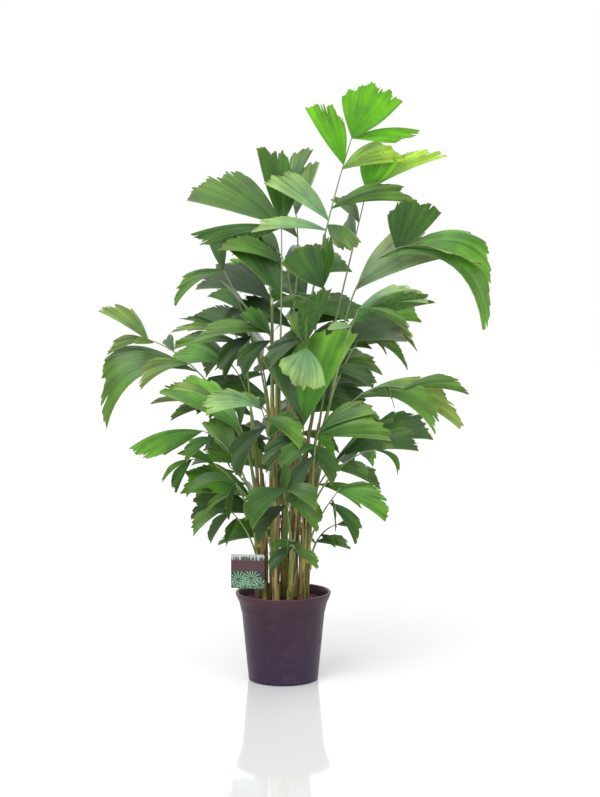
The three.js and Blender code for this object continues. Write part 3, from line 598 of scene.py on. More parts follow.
# cane, height where the frond leaves it, how far it climbs beside it, the point that bends it outwards
# and its tip; leaflets: place along the frond, tail from foot to tip, spread and roll in degrees, sag in
# lengths
fronds = [
    dict(cane=0, at=560, rise=190, via=(120, 15, 1000), tip=(172, 10, 1157),
         tones="bright bright bright lime mid pale pale mid", blades=[
         (1, 120, -10, 85, 70, 80, 0), (1, 165, 20, 25, 20, -80, 0.06), (0.86, -90, 15, 137, 38, 100, 0),
         (0.84, 155, 30, 22, 35, 110, 0.05), (0.67, 207, 25, 14, 22, 100, 0.08),
         (0.62, -152, -85, 84, 32, 80, 0.05), (0.58, -175, -75, -3, 18, 70, 0.05),
         (0.6, 80, -40, -40, 48, -75, 0.1)]),
    dict(cane=1, at=500, rise=180, via=(175, 60, 880), tip=(210, 55, 1030),
         tones="bright lime mid deep", blades=[
         (1, 77, -10, 67, 64, 85, 0), (1, 200, 15, 87, 18, 95, 0.05), (0.82, -70, 60, 60, 30, 60, 0.05),
         (0.75, -40, 120, 20, 32, 70, 0.1)]),
    dict(cane=2, at=560, rise=170, via=(60, 110, 900), tip=(15, 100, 1047),
         tones="pale pale mid mid", blades=[
         (1, 57, 10, 87, 35, 90, 0), (0.82, 62, 20, 130, 32, 95, 0), (1, -60, 60, 40, 35, 60, 0.05),
         (0.7, -90, 70, 30, 32, 70, 0.1)]),
    dict(cane=4, at=440, rise=160, via=(0, -30, 800), tip=(-4, -22, 942),
         tones="mid deep deep mid deep", blades=[
         (1, -223, -15, 60, 42, 70, 0.04), (1, -57, 18, 187, 42, 50, 0), (0.97, -217, 10, -12, 22, -80, 0.05),
         (0.78, -150, -30, 32, 28, 65, 0.08), (0.62, -140, -5, 125, 42, 75, 0.03)]),
    dict(cane=3, at=400, rise=150, via=(-95, 30, 730), tip=(-152, 40, 830),
         tones="mid deep deep dark", blades=[
         (1, -117, -10, -85, 22, 80, 0.12), (1, -50, 40, 90, 35, 80, 0), (0.7, -90, 50, 40, 32, 60, 0.06),
         (0.55, -60, -40, -100, 34, 70, 0.08)]),
    dict(cane=3, at=480, rise=110, via=(-28, -15, 620), tip=(-32, -20, 672),
         tones="mid deep deep mid dark", blades=[
         (1, -187, -15, -22, 22, 65, 0.08), (1, -72, -20, 45, 45, 80, 0), (0.93, -115, 5, 137, 30, 10, 0),
         (0.75, 75, -30, -60, 36, 100, 0.06), (0.85, -60, -50, -90, 34, 70, 0.1)]),
    dict(cane=6, at=380, rise=330, via=(150, -60, 850), tip=(302, -70, 884),
         tones="deep soft soft grey fresh deep", blades=[
         (0.93, 105, -10, 88, 65, 85, 0), (1, 197, 25, -12, 15, 100, 0.04), (1, 205, -25, -42, 18, 20, 0.05),
         (0.58, 242, 10, 88, 38, 110, 0.06), (0.82, 245, -50, -160, 34, 115, 0.3),
         (0.96, 195, 50, -62, 18, 100, 0.12)]),
    dict(cane=15, at=340, rise=170, via=(140, -110, 640), tip=(185, -120, 735),
         tones="pale deep mid pale", blades=[
         (1, 162, -10, 17, 26, 110, 0.08), (0.85, 195, 20, 60, 26, 60, 0.05), (1, 127, -30, -63, 16, 90, 0.1),
         (0.85, -55, -10, -8, 30, 70, 0)]),
    dict(cane=7, at=300, rise=170, via=(160, 90, 620), tip=(217, 110, 682),
         tones="soft olive mid soft deep", blades=[
         (1, 125, 10, -57, 15, 80, 0.15), (0.92, 57, -40, -50, 16, 80, 0.1),
         (0.85, 125, 60, -75, 15, 80, 0.15), (0.7, 67, -20, -17, 14, 80, 0.1), (1, 60, 70, 40, 30, 70, 0)]),
    dict(cane=6, at=210, rise=240, via=(190, -90, 575), tip=(298, -120, 538),
         tones="soft mid soft mid deep mid", blades=[
         (0.6, 247, -30, -65, 25, 110, 0.14), (1, 152, -10, -12, 22, 100, 0.08),
         (0.76, 127, 30, -40, 15, 85, 0.1), (0.72, 150, -60, -95, 30, 100, 0.15),
         (0.5, 75, -50, -30, 26, 110, 0.1), (0.85, 20, -60, -45, 30, 80, 0.05)]),
    dict(cane=15, at=230, rise=90, via=(75, -100, 410), tip=(90, -115, 440),
         tones="mid mid fresh deep dark", blades=[
         (1, 132, -25, 45, 30, 110, 0.05), (0.85, 168, -45, -5, 34, 100, 0.05),
         (0.8, 47, -50, -42, 40, 80, 0.05), (0.7, -80, -30, -60, 36, 80, 0.08),
         (0.55, -40, -40, -110, 34, 80, 0.08)]),
    dict(cane=15, at=190, rise=100, via=(170, -60, 385), tip=(232, -70, 385),
         tones="soft mid mid deep", blades=[
         (1, 42, -10, 8, 35, 80, 0), (1, 52, 5, -60, 18, 80, 0.2), (0.65, 42, -30, -32, 35, 100, 0),
         (0.8, 20, 60, -20, 30, 70, 0)]),
    dict(cane=15, at=90, rise=90, via=(105, -90, 245), tip=(142, -95, 297),
         tones="mid fresh mid deep", blades=[
         (1, 90, 0, 0, 14, 90, 0.05), (0.92, 112, -35, -65, 38, 110, 0.08), (0.8, 12, -50, -70, 34, 90, 0.05),
         (0.75, 62, -10, -97, 30, 80, 0.08)]),
    dict(cane=6, at=70, rise=60, via=(95, -50, 190), tip=(137, -60, 200),
         tones="mid deep mid", blades=[
         (1, 57, -10, -5, 35, 110, 0), (0.6, 32, -40, -25, 30, 100, 0), (0.45, 77, -50, -10, 28, 100, 0.05)]),
    dict(cane=11, at=270, rise=170, via=(-230, -40, 635), tip=(-335, -50, 655),
         tones="soft soft soft mid soft deep", blades=[
         (1, -118, -10, 72, 30, 75, 0.05), (1, -105, 20, -35, 24, 80, 0.08), (0.95, -35, -50, 0, 30, 70, 0),
         (0.64, -220, -40, -125, 36, 65, 0.27), (0.7, -107, -70, -55, 28, 65, 0.12),
         (0.8, -40, 80, 20, 32, 70, 0.05)]),
    dict(cane=11, at=350, rise=190, via=(-85, 40, 670), tip=(-150, 50, 680),
         tones="deep soft grey mid deep", blades=[
         (1, -115, 20, 25, 12, 80, 0.03), (1, -130, -25, -8, 12, 80, 0.05),
         (0.95, -155, 60, -45, 26, 15, 0.05), (0.72, -167, -10, -15, 20, 65, 0.08),
         (0.85, -50, 70, 20, 30, 70, 0)]),
    dict(cane=12, at=210, rise=140, via=(-95, -80, 500), tip=(-172, -95, 518),
         tones="soft fresh deep mid", blades=[
         (1, -97, -15, 20, 24, 70, 0.06), (0.56, -195, 15, 92, 36, 60, 0.05), (0.6, 20, -60, 70, 35, 70, 0),
         (0.85, -30, -70, -30, 30, 70, 0.05)]),
    dict(cane=10, at=170, rise=160, via=(-130, 80, 500), tip=(-226, 95, 493),
         tones="soft mid deep mid deep", blades=[
         (1, -117, 10, -7, 14, 80, 0.05), (0.82, -105, -30, -32, 22, 70, 0.08),
         (0.74, -17, -50, -80, 30, 80, 0.05), (0.7, -60, 80, 10, 30, 70, 0.05),
         (0.9, -50, 70, 30, 28, 70, 0)]),
    dict(cane=4, at=230, rise=110, via=(-40, -85, 450), tip=(-52, -120, 497),
         tones="pale mid deep mid dark deep", blades=[
         (1, -177, -55, -5, 28, 60, 0.07), (0.95, -70, 30, 30, 32, 75, 0), (1, 20, -70, 20, 30, 60, 0.05),
         (0.82, 85, -20, -75, 36, 100, 0.08), (0.72, -60, -20, -120, 34, 75, 0.1),
         (0.6, 70, -30, 50, 34, 100, 0.05)]),
    dict(cane=12, at=130, rise=150, via=(-120, -70, 410), tip=(-200, -90, 435),
         tones="fresh mid deep", blades=[
         (1, -172, -20, -35, 30, -75, 0.08), (0.62, -78, 25, 80, 45, 70, 0),
         (0.85, -60, -60, -50, 28, 70, 0.08)]),
    dict(cane=11, at=110, rise=120, via=(-140, 30, 360), tip=(-235, 35, 350),
         tones="deep mid mid deep", blades=[
         (1, -35, -15, -80, 30, 80, 0.05), (1, -77, 10, -60, 15, 80, 0.1), (0.75, -90, -30, 35, 24, 70, 0.06),
         (0.85, -45, 55, -15, 28, 70, 0.05)]),
    dict(cane=13, at=80, rise=100, via=(-80, -115, 270), tip=(-115, -125, 312),
         tones="deep deep mid", blades=[
         (1, -115, -30, -25, 22, 65, 0.18), (1, -12, -40, -82, 30, 80, 0.05),
         (0.85, -95, 10, -62, 16, 75, 0.1)]),
    dict(cane=12, at=50, rise=80, via=(-105, -50, 220), tip=(-142, -55, 240),
         tones="mid deep deep", blades=[
         (1, -77, -25, -62, 30, 70, 0.08), (0.88, -55, 20, -80, 30, 75, 0.05),
         (0.75, -20, -50, -60, 28, 80, 0.05)]),
    dict(cane=14, at=100, rise=100, via=(-5, -120, 280), tip=(5, -145, 300),
         tones="deep mid deep deep mid dark deep", blades=[
         (1, -72, -40, -90, 46, 80, 0.08), (1, 72, -30, -45, 44, 110, 0.08),
         (0.8, -70, -50, -60, 40, 60, 0.1), (0.9, 20, -60, 60, 40, 80, 0),
         (0.72, 75, -15, -80, 40, 100, 0.08), (0.6, -65, 5, -90, 38, 70, 0.08),
         (0.66, 10, -50, -115, 36, 85, 0.05)]),
    dict(cane=14, at=40, rise=60, via=(25, -110, 150), tip=(25, -130, 165),
         tones="mid deep dark mid", blades=[
         (1, 30, -50, -20, 36, 80, 0), (1, -45, -35, -5, 34, 60, 0), (0.8, -50, -20, -60, 34, 75, 0.05),
         (0.7, 58, -10, -45, 34, 95, 0.05)]),
    dict(cane=5, at=230, rise=90, via=(50, -75, 400), tip=(51, -85, 450),
         tones="deep fresh deep dark deep", blades=[
         (1, -102, -20, 165, 40, 85, 0.03), (1, 128, -10, 218, 42, 95, 0.03), (0.9, 0, -80, 50, 35, 80, 0.05),
         (0.8, -85, -40, -80, 36, 70, 0.08), (0.7, 65, -30, -100, 36, 100, 0.08)]),
    dict(cane=5, at=370, rise=190, via=(54, -55, 750), tip=(55, -140, 634),
         tones="pale deep mid mid dark", blades=[
         (1, 45, -25, -85, 100, -85, 0.05), (0.93, 60, 10, 130, 50, 60, 0), (0.93, -42, 15, 62, 40, 80, 0),
         (1, 8, -10, 78, 12, 90, 0), (0.7, -80, -20, -70, 34, 70, 0.06)]),
    dict(cane=5, at=450, rise=140, via=(85, -70, 730), tip=(97, -75, 785),
         tones="deep deep deep dark", blades=[
         (1, -97, -20, 57, 76, 85, 0), (0.97, 0, 30, 130, 40, 60, 0), (0.8, -60, -60, 10, 30, 60, 0.05),
         (0.6, -70, -30, -90, 36, 75, 0.08)]),
]
# fronds round the back: cane, height where it leaves it, bearing, reach and height of the tip
backFronds = [
    (8, 420, 75, 230, 760), (9, 360, 112, 250, 660), (2, 500, 95, 240, 880), (10, 330, 130, 250, 600),
    (7, 400, 38, 260, 710), (8, 250, 74, 270, 520), (9, 200, 103, 260, 430), (10, 100, 135, 200, 320),
    (7, 150, 33, 240, 380), (9, 60, 95, 190, 240), (3, 600, 104, 210, 830), (2, 380, 58, 270, 610),
]
backBlades, backStart = 8, 0.36
backLength, backRoll, backSag = 195, 35, 0.08


def backFrond(row, index):
    cane, at, bearing, reach, height = row
    ahead = Vector((math.cos(math.radians(bearing)), math.sin(math.radians(bearing)), 0))
    tip, via = ahead * reach, ahead * reach * 0.55
    tip.z, via.z = height, height - 40
    blades, tones = [], []
    for i in range(backBlades):
        side, far = (1, -1)[i % 2], i / (backBlades - 1)
        vary = math.sin(2.4 * (index * backBlades + i))
        tail = turned(ahead, side * (72 - 40 * far + 10 * vary))
        tail.z = -0.15 + 0.35 * vary
        tail = tail.normalized() * backLength * (0.8 + 0.2 * vary)
        blades.append((lerp(backStart, 1, far), *tail, 36 + 10 * vary, 90 - side * backRoll, backSag))
        tones.append(("deep", "mid", "dark", "deep", "fresh")[(index + i) % 5])
    return dict(cane=cane, at=at, rise=(height - at) * 0.45, via=via, tip=tip,
                tones=" ".join(tones), blades=blades)


def frondCurve(frond, bow, turn):
    point, radius, along = caneAt(canes[frond["cane"]], frond["at"])
    tip = Vector(frond["tip"])
    outwards = tip - point
    outwards.z = 0
    outwards.normalize()
    sideways = upward.cross(outwards)
    start = point + turned(outwards, turn) * (radius + frondSize["petioleRadius"] + frondSize["gap"] * 2)
    via = Vector(frond["via"]) + sideways * bow
    return cubic(start, start + along * frond["rise"], via, tip), sideways


def onChord(curve, t):  # the frame's stalk is straight between its steps
    steps = frondSize["steps"]
    step = min(math.floor(t * steps), steps - 1)
    return curve(step / steps).lerp(curve((step + 1) / steps), t * steps - step)


class Leaflet:
    def __init__(self, row, curve, swing, lift):
        place, dx, dy, dz, self.spread, roll, self.sag = row
        vector = turned((dx, dy, dz), swing)
        self.length = vector.length
        tail = vector.normalized()
        level = tail.cross(upward).normalized()
        self.tail = Matrix.Rotation(math.radians(lift), 3, level) @ tail
        raised = level.cross(self.tail)
        self.across = level * math.cos(math.radians(roll)) + raised * math.sin(math.radians(roll))
        self.face = self.across.cross(self.tail)
        self.arch = (upward - self.tail * upward.dot(self.tail)).normalized()
        self.foot = onChord(curve, min(place, frondSize["lastFoot"]))
        self.short = 0.5 + self.spread / 450  # the far side's length as a part of the near side's

    def corner(self, u):  # an end of the outer margin
        angle = math.radians(self.spread) * u
        reach = self.length * (1 - (1 - self.short) * u)
        ahead = reach * math.cos(angle) / self.length
        return (self.foot + self.tail * ahead * self.length + self.across * reach * math.sin(angle)
                + self.arch * 4 * self.sag * ahead * (1 - ahead) * self.length)


def treeOf(node):
    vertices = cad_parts[node].data.vertices
    kd = KDTree(len(vertices))
    for i, vertex in enumerate(vertices):
        kd.insert(vertex.co, i)
    kd.balance()
    return kd


# of the ways a stalk or leaflet can lie, the one whose points are points of the frame's own solid
def bestLay(kd, tries, pointsOf):
    def miss(lay):
        return sum(min(kd.find(toWorld(p))[2], 0.02) for p in pointsOf(*lay))
    return min(tries, key=miss), min(miss(lay) for lay in tries)


def stalkPoints(frond, bow, turn):
    curve, sideways = frondCurve(frond, bow, turn)
    points = []
    for step in range(1, frondSize["steps"]):
        t = step / frondSize["steps"]
        side = tangent(curve, t).cross(sideways).normalized()
        radius = lerp(frondSize["petioleRadius"], frondSize["tipRadius"], t)
        points += [curve(t) + side * radius, curve(t) - side * radius]
    return points


def leafletPoints(row, curve, swing, lift):
    leaflet = Leaflet(row, curve, swing, lift)
    half = leaflet.face * frondSize["thickness"] / 2
    return [leaflet.corner(u) + half * s for u in (0, 1) for s in (-1, 1)]


def makeFrondTree():
    g = Grower("fishtail frond", leafletLook)
    seeds = g.given("Geometry")
    path = g.add("GeometryNodeMeshToCurve", sockets={"Mesh": seeds})
    path = g.store(path, "along", g.add("GeometryNodeSplineParameter", out="Factor"))
    stalk = g.paint(g.tube(path, g.attribute("girth"), g.given("Stalk sides")), stalkFinish)
    # every leaflet starts as the same flat grid with two faces
    sockets = {"Vertices X": g.given("Columns"), "Vertices Y": g.given("Rows"), "Vertices Z": 2}
    grid = g.add("GeometryNodeMeshCube", sockets={"Size": (1.0, 1.0, 1.0), **sockets})
    grid = g.store(grid, "leafU", g.split(g.position(), "X") + 0.5)
    grid = g.store(grid, "leafV", g.split(g.position(), "Y") + 0.5)
    grid = g.store(grid, "side", g.split(g.position(), "Z"))
    blades = g.realize(g.instances(seeds, grid, Selection=g.attribute("isLeaflet", "BOOLEAN")))
    u, v, side, length, spread, seed, ribs, sag, bend, short, taper = (g.attribute(name) for name in (
        "leafU", "leafV", "side", "reach", "spread", "seed", "ribs", "sag", "bend", "short", "taper"))
    # the end is torn into lobes, each with teeth, and a few clefts run deeper in
    rib = (u * ribs).of("FLOOR")
    inRib = u * ribs - rib
    peak = 1.0 - (inRib * 2.0 - 1.0).of("ABSOLUTE")
    lobes = g.noise(g.combine(u * ribs * 0.36 + seed * 3.0, seed, 0.0), 1.0, 1.0) - 0.52
    teeth = (g.randomOf(rib + seed * 17.0) - 0.6) * 0.9 + (peak - 0.5) * 0.45
    cleft = g.randomOf(rib * 7.0 + seed * 5.0).of("GREATER_THAN", g.given("Whole"))
    cleft = (1.0 - inRib).between(0.66, 1.0) * cleft
    torn = teeth * g.given("Tooth") + lobes * g.given("Lobe") * 2.0 - cleft * g.given("Cleft")
    tail = (1.0 - u) ** 9.0
    torn = torn * (1.0 - tail) + tail * 0.03
    reach = v * length * (1.0 - (1.0 - short) * u.of("MAXIMUM", 0.0001) ** taper)
    reach = reach * (1.0 + torn * v ** 5.0)
    angle = spread * u
    ahead = reach * angle.of("COSINE") / length
    bow = (u * 2.0 - 1.0) * g.given("Bulge") * spread * length * (v * math.pi).of("SINE")
    beside = reach * angle.of("SINE") + bow + (u - 0.5) * g.given("Foot width") * (1.0 - v)
    # trough, folds between the ribs, slow waves and a drooping end, all square to the blade
    trough = (1.0 - (u * 2.0 - 1.0).of("ABSOLUTE")) * (v.of("MINIMUM", 0.9) * math.pi).of("SINE")
    fold = (peak - 0.5) * g.given("Pleat") * v
    wave = (g.noise(g.combine(u * 1.5, v * 1.2, seed * 5.3), 1.0, 1.0) - 0.5) * g.given("Wave") * 2.0 * v
    ruffle = (u * 13.0 + seed * 4.0).of("SINE") * v ** 4.0 * g.given("Ruffle")
    off = (fold + wave + ruffle - trough * g.given("Trough") - v * v * bend) * length
    thick = side * (g.given("Thickness") + (1.0 - v) ** 8.0 * g.given("Foot thickness"))
    arched = sag * ahead * (1.0 - ahead) * length * 4.0
    place = (g.vector("foot") + g.vector("tail") * (ahead * length) + g.vector("across") * beside
             + g.vector("arch") * arched + g.vector("face") * (off + thick))
    blades = g.paint(g.move(blades, Position=place), leafFinish)
    return g.finish(g.crease(g.smooth(stalk, blades)))


def frondSeeds(name, curve, leaflets, tones):  # a path for the stalk, then one loose point for each leaflet
    s, steps = frondSize, frondSize["pathSteps"]
    span = (curve(1) - curve(0)).length
    path = [curve(i / steps * s["lastFoot"]) for i in range(steps + 1)]
    # the stalk swells where it clasps its cane
    girths = [(lerp(s["petioleRadius"], s["tipRadius"], i / steps)
               + s["sheathSwell"] * math.exp(-(i / steps * span / s["sheathReach"]) ** 2)) * mm
              for i in range(steps + 1)]
    count, many = len(path), len(leaflets)
    seeds = bpy.data.meshes.new(name)
    points = [toWorld(p) for p in path] + [toWorld(leaflet.foot) for leaflet in leaflets]
    seeds.from_pydata(points, [(i, i + 1) for i in range(steps)], [])
    addLayer(seeds, "girth", "FLOAT", girths + [0.0] * many)
    addLayer(seeds, "isLeaflet", "BOOLEAN", [False] * count + [True] * many)
    addLayer(seeds, "foot", "FLOAT_VECTOR", points)
    for layer in ("tail", "across", "face", "arch"):
        addLayer(seeds, layer, "FLOAT_VECTOR", [(0, 0, 0)] * count + [getattr(x, layer) for x in leaflets])
    numbers = {
        "reach": [x.length * mm for x in leaflets],
        "spread": [math.radians(x.spread) for x in leaflets],
        "short": [x.short for x in leaflets],
        "taper": [1.0 + x.spread / 35 for x in leaflets],
        "sag": [x.sag for x in leaflets],
        "ribs": [float(round(5 + x.spread * 0.26)) for x in leaflets],
        "bend": [math.copysign(random.uniform(0.02, 0.08), x.face.z) for x in leaflets],
        "seed": [random.uniform(0, 20) for x in leaflets],
    }
    for layer, values in numbers.items():
        addLayer(seeds, layer, "FLOAT", [0.0] * count + values)
    tints = []
    for tone in tones:
        shift = random.uniform(0.88, 1.14)
        tints.append([c * shift for c in ink(leafTones[tone])[:3]] + [1.0])
    addLayer(seeds, "tint", "FLOAT_COLOR", [(0.1, 0.2, 0.05, 1.0)] * count + tints)
    return seeds


frondTree = makeFrondTree()
stalkLays = [(bow, turn) for turn in turnTries for bow in bowTries]
leafletLays = [(swing, lift) for lift in liftTries for swing in swingTries]
for index, frond in enumerate(fronds + [backFrond(row, i) for i, row in enumerate(backFronds)]):
    node = f"frond_{index + 1:02d}"
    kd = treeOf(node)
    lay, miss = bestLay(kd, stalkLays, lambda bow, turn: stalkPoints(frond, bow, turn))
    if miss > frondSize["slack"]:
        print(node, "stalk lies off its solid by", round(miss, 4))
    curve = frondCurve(frond, *lay)[0]
    leaflets, tones = [], []
    for row, tone in zip(frond["blades"], frond["tones"].split()):
        lay, miss = bestLay(kd, leafletLays, lambda swing, lift: leafletPoints(row, curve, swing, lift))
        if miss > frondSize["slack"]:  # the frame left this one off
            print(node, "has no leaflet at", round(row[0], 2), "miss", round(miss, 4))
            continue
        leaflets.append(Leaflet(row, curve, *lay))
        tones.append(tone)
    piece = grow(f"frond{index + 1:02d}", frondSeeds(node, curve, leaflets, tones), frondTree)
    handOver(piece, "leaf", node)
print("fronds grown")


def toMesh(form, name, *finishes):
    mesh = bpy.data.meshes.new(name)
    form.to_mesh(mesh)
    form.free()
    for finish in finishes:
        mesh.materials.append(finish)
    return mesh


def spinProfile(name, profile, sides):  # revolves [radius, height] points, ends on the axis closed
    form = bmesh.new()
    turns = [2 * math.pi * i / sides for i in range(sides)]
    rings = []
    for radius, height in profile:
        around = turns if radius else [0]
        r, z = radius * mm, height * mm
        rings.append([form.verts.new((r * math.cos(a), r * math.sin(a), z)) for a in around])
    for lower, upper in zip(rings, rings[1:]):
        for i in range(sides):
            j = (i + 1) % sides
            if len(lower) == 1:
                form.faces.new((lower[0], upper[j], upper[i]))
            elif len(upper) == 1:
                form.faces.new((lower[i], lower[j], upper[0]))
            else:
                form.faces.new((lower[i], lower[j], upper[j], upper[i]))
    bmesh.ops.recalc_face_normals(form, faces=form.faces)
    return toMesh(form, name)


def fillet(a, b, c, radius, steps=4):  # points that round the corner b between a and c
    a, b, c = Vector(a), Vector(b), Vector(c)
    reach = min(radius, (a - b).length * 0.45, (c - b).length * 0.45)
    first, last = b + (a - b).normalized() * reach, b + (c - b).normalized() * reach
    return [tuple(quadratic(first, b, last)(i / steps)) for i in range(steps + 1)]


def roundedProfile(corners):  # corners are radius, height and rounding
    profile = [corners[0][:2]]
    for before, corner, after in zip(corners, corners[1:], corners[2:]):
        profile += fillet(before[:2], corner[:2], after[:2], corner[2]) if corner[2] else [corner[:2]]
    return profile + [corners[-1][:2]]


def shadeCrisp(mesh, degrees):
    for polygon in mesh.polygons:
        polygon.use_smooth = True
    mesh.set_sharp_from_angle(angle=math.radians(degrees))


potSize = {"height": 222, "base": 87, "shoulder": 104, "collar": 112, "step": 172, "lip": 120,
           "lipBottom": 206, "lipWidth": 7, "wall": 2, "floor": 3, "recess": 2.2, "recessRadius": 70,
           "footInside": 74, "notches": 8, "notch": (28, 6.5, 4.6), "sides": 144}


def potCorners():
    s = potSize
    inner, wall = s["lip"] - s["lipWidth"], s["wall"]
    underside = [(0, s["recess"], 0), (s["recessRadius"], s["recess"], 0), (s["footInside"], 0, 1)]
    outside = [
        (s["base"], 0, 3.2), (s["base"] + 0.9, 9, 1), (s["shoulder"] - 0.3, s["step"] - 2, 3),
        (s["shoulder"] + 2, s["step"] + 4, 3), (s["collar"] - 2.6, s["lipBottom"] - 12, 9),
        (s["lip"] - 2.6, s["lipBottom"] + 5, 7), (s["lip"], s["height"] - 2.6, 1.6)]
    inside = [
        (s["lip"] - 1.6, s["height"], 1.4), (inner, s["height"] - 0.8, 2.4),
        (s["collar"] - wall, s["lipBottom"], 2), (s["shoulder"] + 2.5 - wall, s["step"] + 2.5, 1.4),
        (s["shoulder"] - wall, s["step"], 1.2), (s["base"] - wall, s["floor"], 2), (0, s["floor"], 0)]
    return underside + outside + inside


def makePot():
    s = potSize
    pot = addPiece("nurseryPot", spinProfile("nurseryPot", roundedProfile(potCorners()), s["sides"]))
    # drainage notches round the foot, rounded over at the top
    form = bmesh.new()
    size = Matrix.Diagonal((*(length * mm for length in s["notch"]), 1))
    for i in range(s["notches"]):
        turn = Matrix.Rotation((i + 0.5) / s["notches"] * 2 * math.pi, 4, "Z")
        shape = bmesh.ops.create_uvsphere(form, u_segments=20, v_segments=12, radius=1)
        matrix = turn @ Matrix.Translation((s["base"] * mm, 0, 0)) @ size
        bmesh.ops.transform(form, matrix=matrix, verts=shape["verts"])
    cutter = addPiece("notches", toMesh(form, "notches"))
    cut = pot.modifiers.new("notches", "BOOLEAN")
    cut.object, cut.operation, cut.solver = cutter, "DIFFERENCE", "EXACT"
    depsgraph = bpy.context.evaluated_depsgraph_get()
    mesh = bpy.data.meshes.new_from_object(pot.evaluated_get(depsgraph))
    pot.modifiers.clear()
    bpy.data.objects.remove(cutter)
    pot.data = mesh
    shadeCrisp(mesh, 32)
    mesh.materials.clear()
    mesh.materials.append(potFinish)
    return pot


handOver(makePot(), "pot_plastic", "pot")
print("pot made")


soilSize = {"radius": 108.4, "bottomRadius": 84.6, "bottom": 3.3, "stepRadius": 101.6, "step": 172,
            "crown": 5, "rings": 36, "crownRings": 26, "sides": 144}
soilLook = {"Crumb size": 0.0042, "Crumb density": 52000.0, "Roughness": 0.0036, "Seed": 8,
            "Bed radius": 0.108, "Even edge": 0.006, "Steepest": 0.6}


def makeSoilTree():
    g = Grower("potting mix", soilLook)
    bed, spot = g.given("Geometry"), g.position()
    flat = g.combine(g.split(spot, "X"), g.split(spot, "Y"), 0.0)
    edge = g.add("ShaderNodeVectorMath", {"operation": "LENGTH"}, [flat], out="Value")
    level = g.split(spot, "Z").between(soilLevel - 0.002, soilLevel - 0.0005)
    top = level * edge.between(g.given("Bed radius"), g.given("Bed radius") - g.given("Even edge"))
    lumps = g.noise(flat, 42.0, 4.0) - 0.5 + (g.noise(flat, 190.0, 3.0) - 0.5) * 0.5
    bed = g.move(bed, Offset=g.combine(0.0, 0.0, lumps * top * g.given("Roughness") * 2.4))
    bed = g.store(bed, "crumb", 0.0)
    facing = g.split(g.add("GeometryNodeInputNormal", out="Normal"), "Z")
    spots = g.add("GeometryNodeDistributePointsOnFaces", sockets={
        "Mesh": bed, "Selection": g.compare("GREATER_THAN", facing, g.given("Steepest")),
        "Density": g.given("Crumb density"), "Seed": g.given("Seed")})
    grain = g.add("GeometryNodeMeshIcoSphere", sockets={"Radius": 1.0, "Subdivisions": 2})
    grain = g.move(grain, Offset=g.position() * (g.noise(g.position(), 1.7, 1.0) - 0.55))
    turn = g.combine(*(g.draw(0.0, math.tau, seed) for seed in (1, 2, 3)))
    size = (g.draw(0.0, 1.0, 5) ** 3.0 * 0.8 + 0.2) * g.given("Crumb size")
    scale = g.combine(size, size * g.draw(0.4, 1.0, 6), size * g.draw(0.3, 0.8, 7))
    rotation = g.add("FunctionNodeEulerToRotation", sockets=[turn])
    crumbs = g.instances(spots, grain, Rotation=rotation, Scale=scale)
    crumbs = g.realize(g.store(crumbs, "crumb", g.draw(0.0, 1.0, 9), domain="INSTANCE"))
    return g.finish(g.paint(g.smooth(bed, crumbs), soilFinish))


def soilProfile():
    s, level = soilSize, soilLevel / mm
    profile = [(0, s["bottom"]), (s["bottomRadius"], s["bottom"]), (s["stepRadius"], s["step"]),
               (s["radius"] - 1, level - 6), (s["radius"], level - 1.5)]
    for i in range(1, s["rings"] + 1):  # the top rises a little towards the canes
        crown = s["crown"] * min(i / s["crownRings"], 1) ** 1.4
        profile.append((lerp(s["radius"] - 0.8, 0, i / s["rings"]), level + crown))
    return profile


soil = grow("pottingMix", spinProfile("soilBed", soilProfile(), soilSize["sides"]), makeSoilTree())
handOver(soil, "potting_mix", "potting_soil")
print("soil made")


labelSize = {"width": 84, "height": 85, "thickness": 1, "corner": 3, "lift": 40, "place": (-87, -60),
             "turn": -9, "stakeShift": 22, "stakeWidth": 12, "stakeThickness": 1.6, "stakeDepth": 55,
             "stakeReach": 60, "stakeGap": 0.3, "stakeFoot": 0.45, "stakeEdge": 0.4}


def standLabel(x, y, z):
    return toWorld(turned((x, y, z), labelSize["turn"]) + Vector((*labelSize["place"], 0)))


def makeCard():
    s, form = labelSize, bmesh.new()
    uvLayer = form.loops.layers.uv.new("print")
    corners = []
    for x, y, first in ((1, 0, -90), (1, 1, 0), (-1, 1, 90), (-1, 0, 180)):
        middleX = x * (s["width"] / 2 - s["corner"])
        middleY = s["corner"] if y == 0 else s["height"] - s["corner"]
        for angle in range(first, first + 91, 15):
            across, up = math.cos(math.radians(angle)), math.sin(math.radians(angle))
            corners.append((middleX + s["corner"] * across, middleY + s["corner"] * up))
    front, back = ([form.verts.new((x, depth, y)) for x, y in corners] for depth in (-s["thickness"], 0))
    form.faces.new(front)
    form.faces.new(list(reversed(back)))
    for i in range(len(corners)):
        j = (i + 1) % len(corners)
        form.faces.new((front[j], front[i], back[i], back[j]))
    for face in form.faces:
        for loop in face.loops:
            x, _, y = loop.vert.co
            loop[uvLayer].uv = (x / s["width"] + 0.5, y / s["height"])
    bmesh.ops.recalc_face_normals(form, faces=form.faces)
    for vertex in form.verts:
        vertex.co = standLabel(vertex.co.x, vertex.co.y, vertex.co.z + s["lift"])
    return addPiece("labelCard", toMesh(form, "labelCard", printFinish))


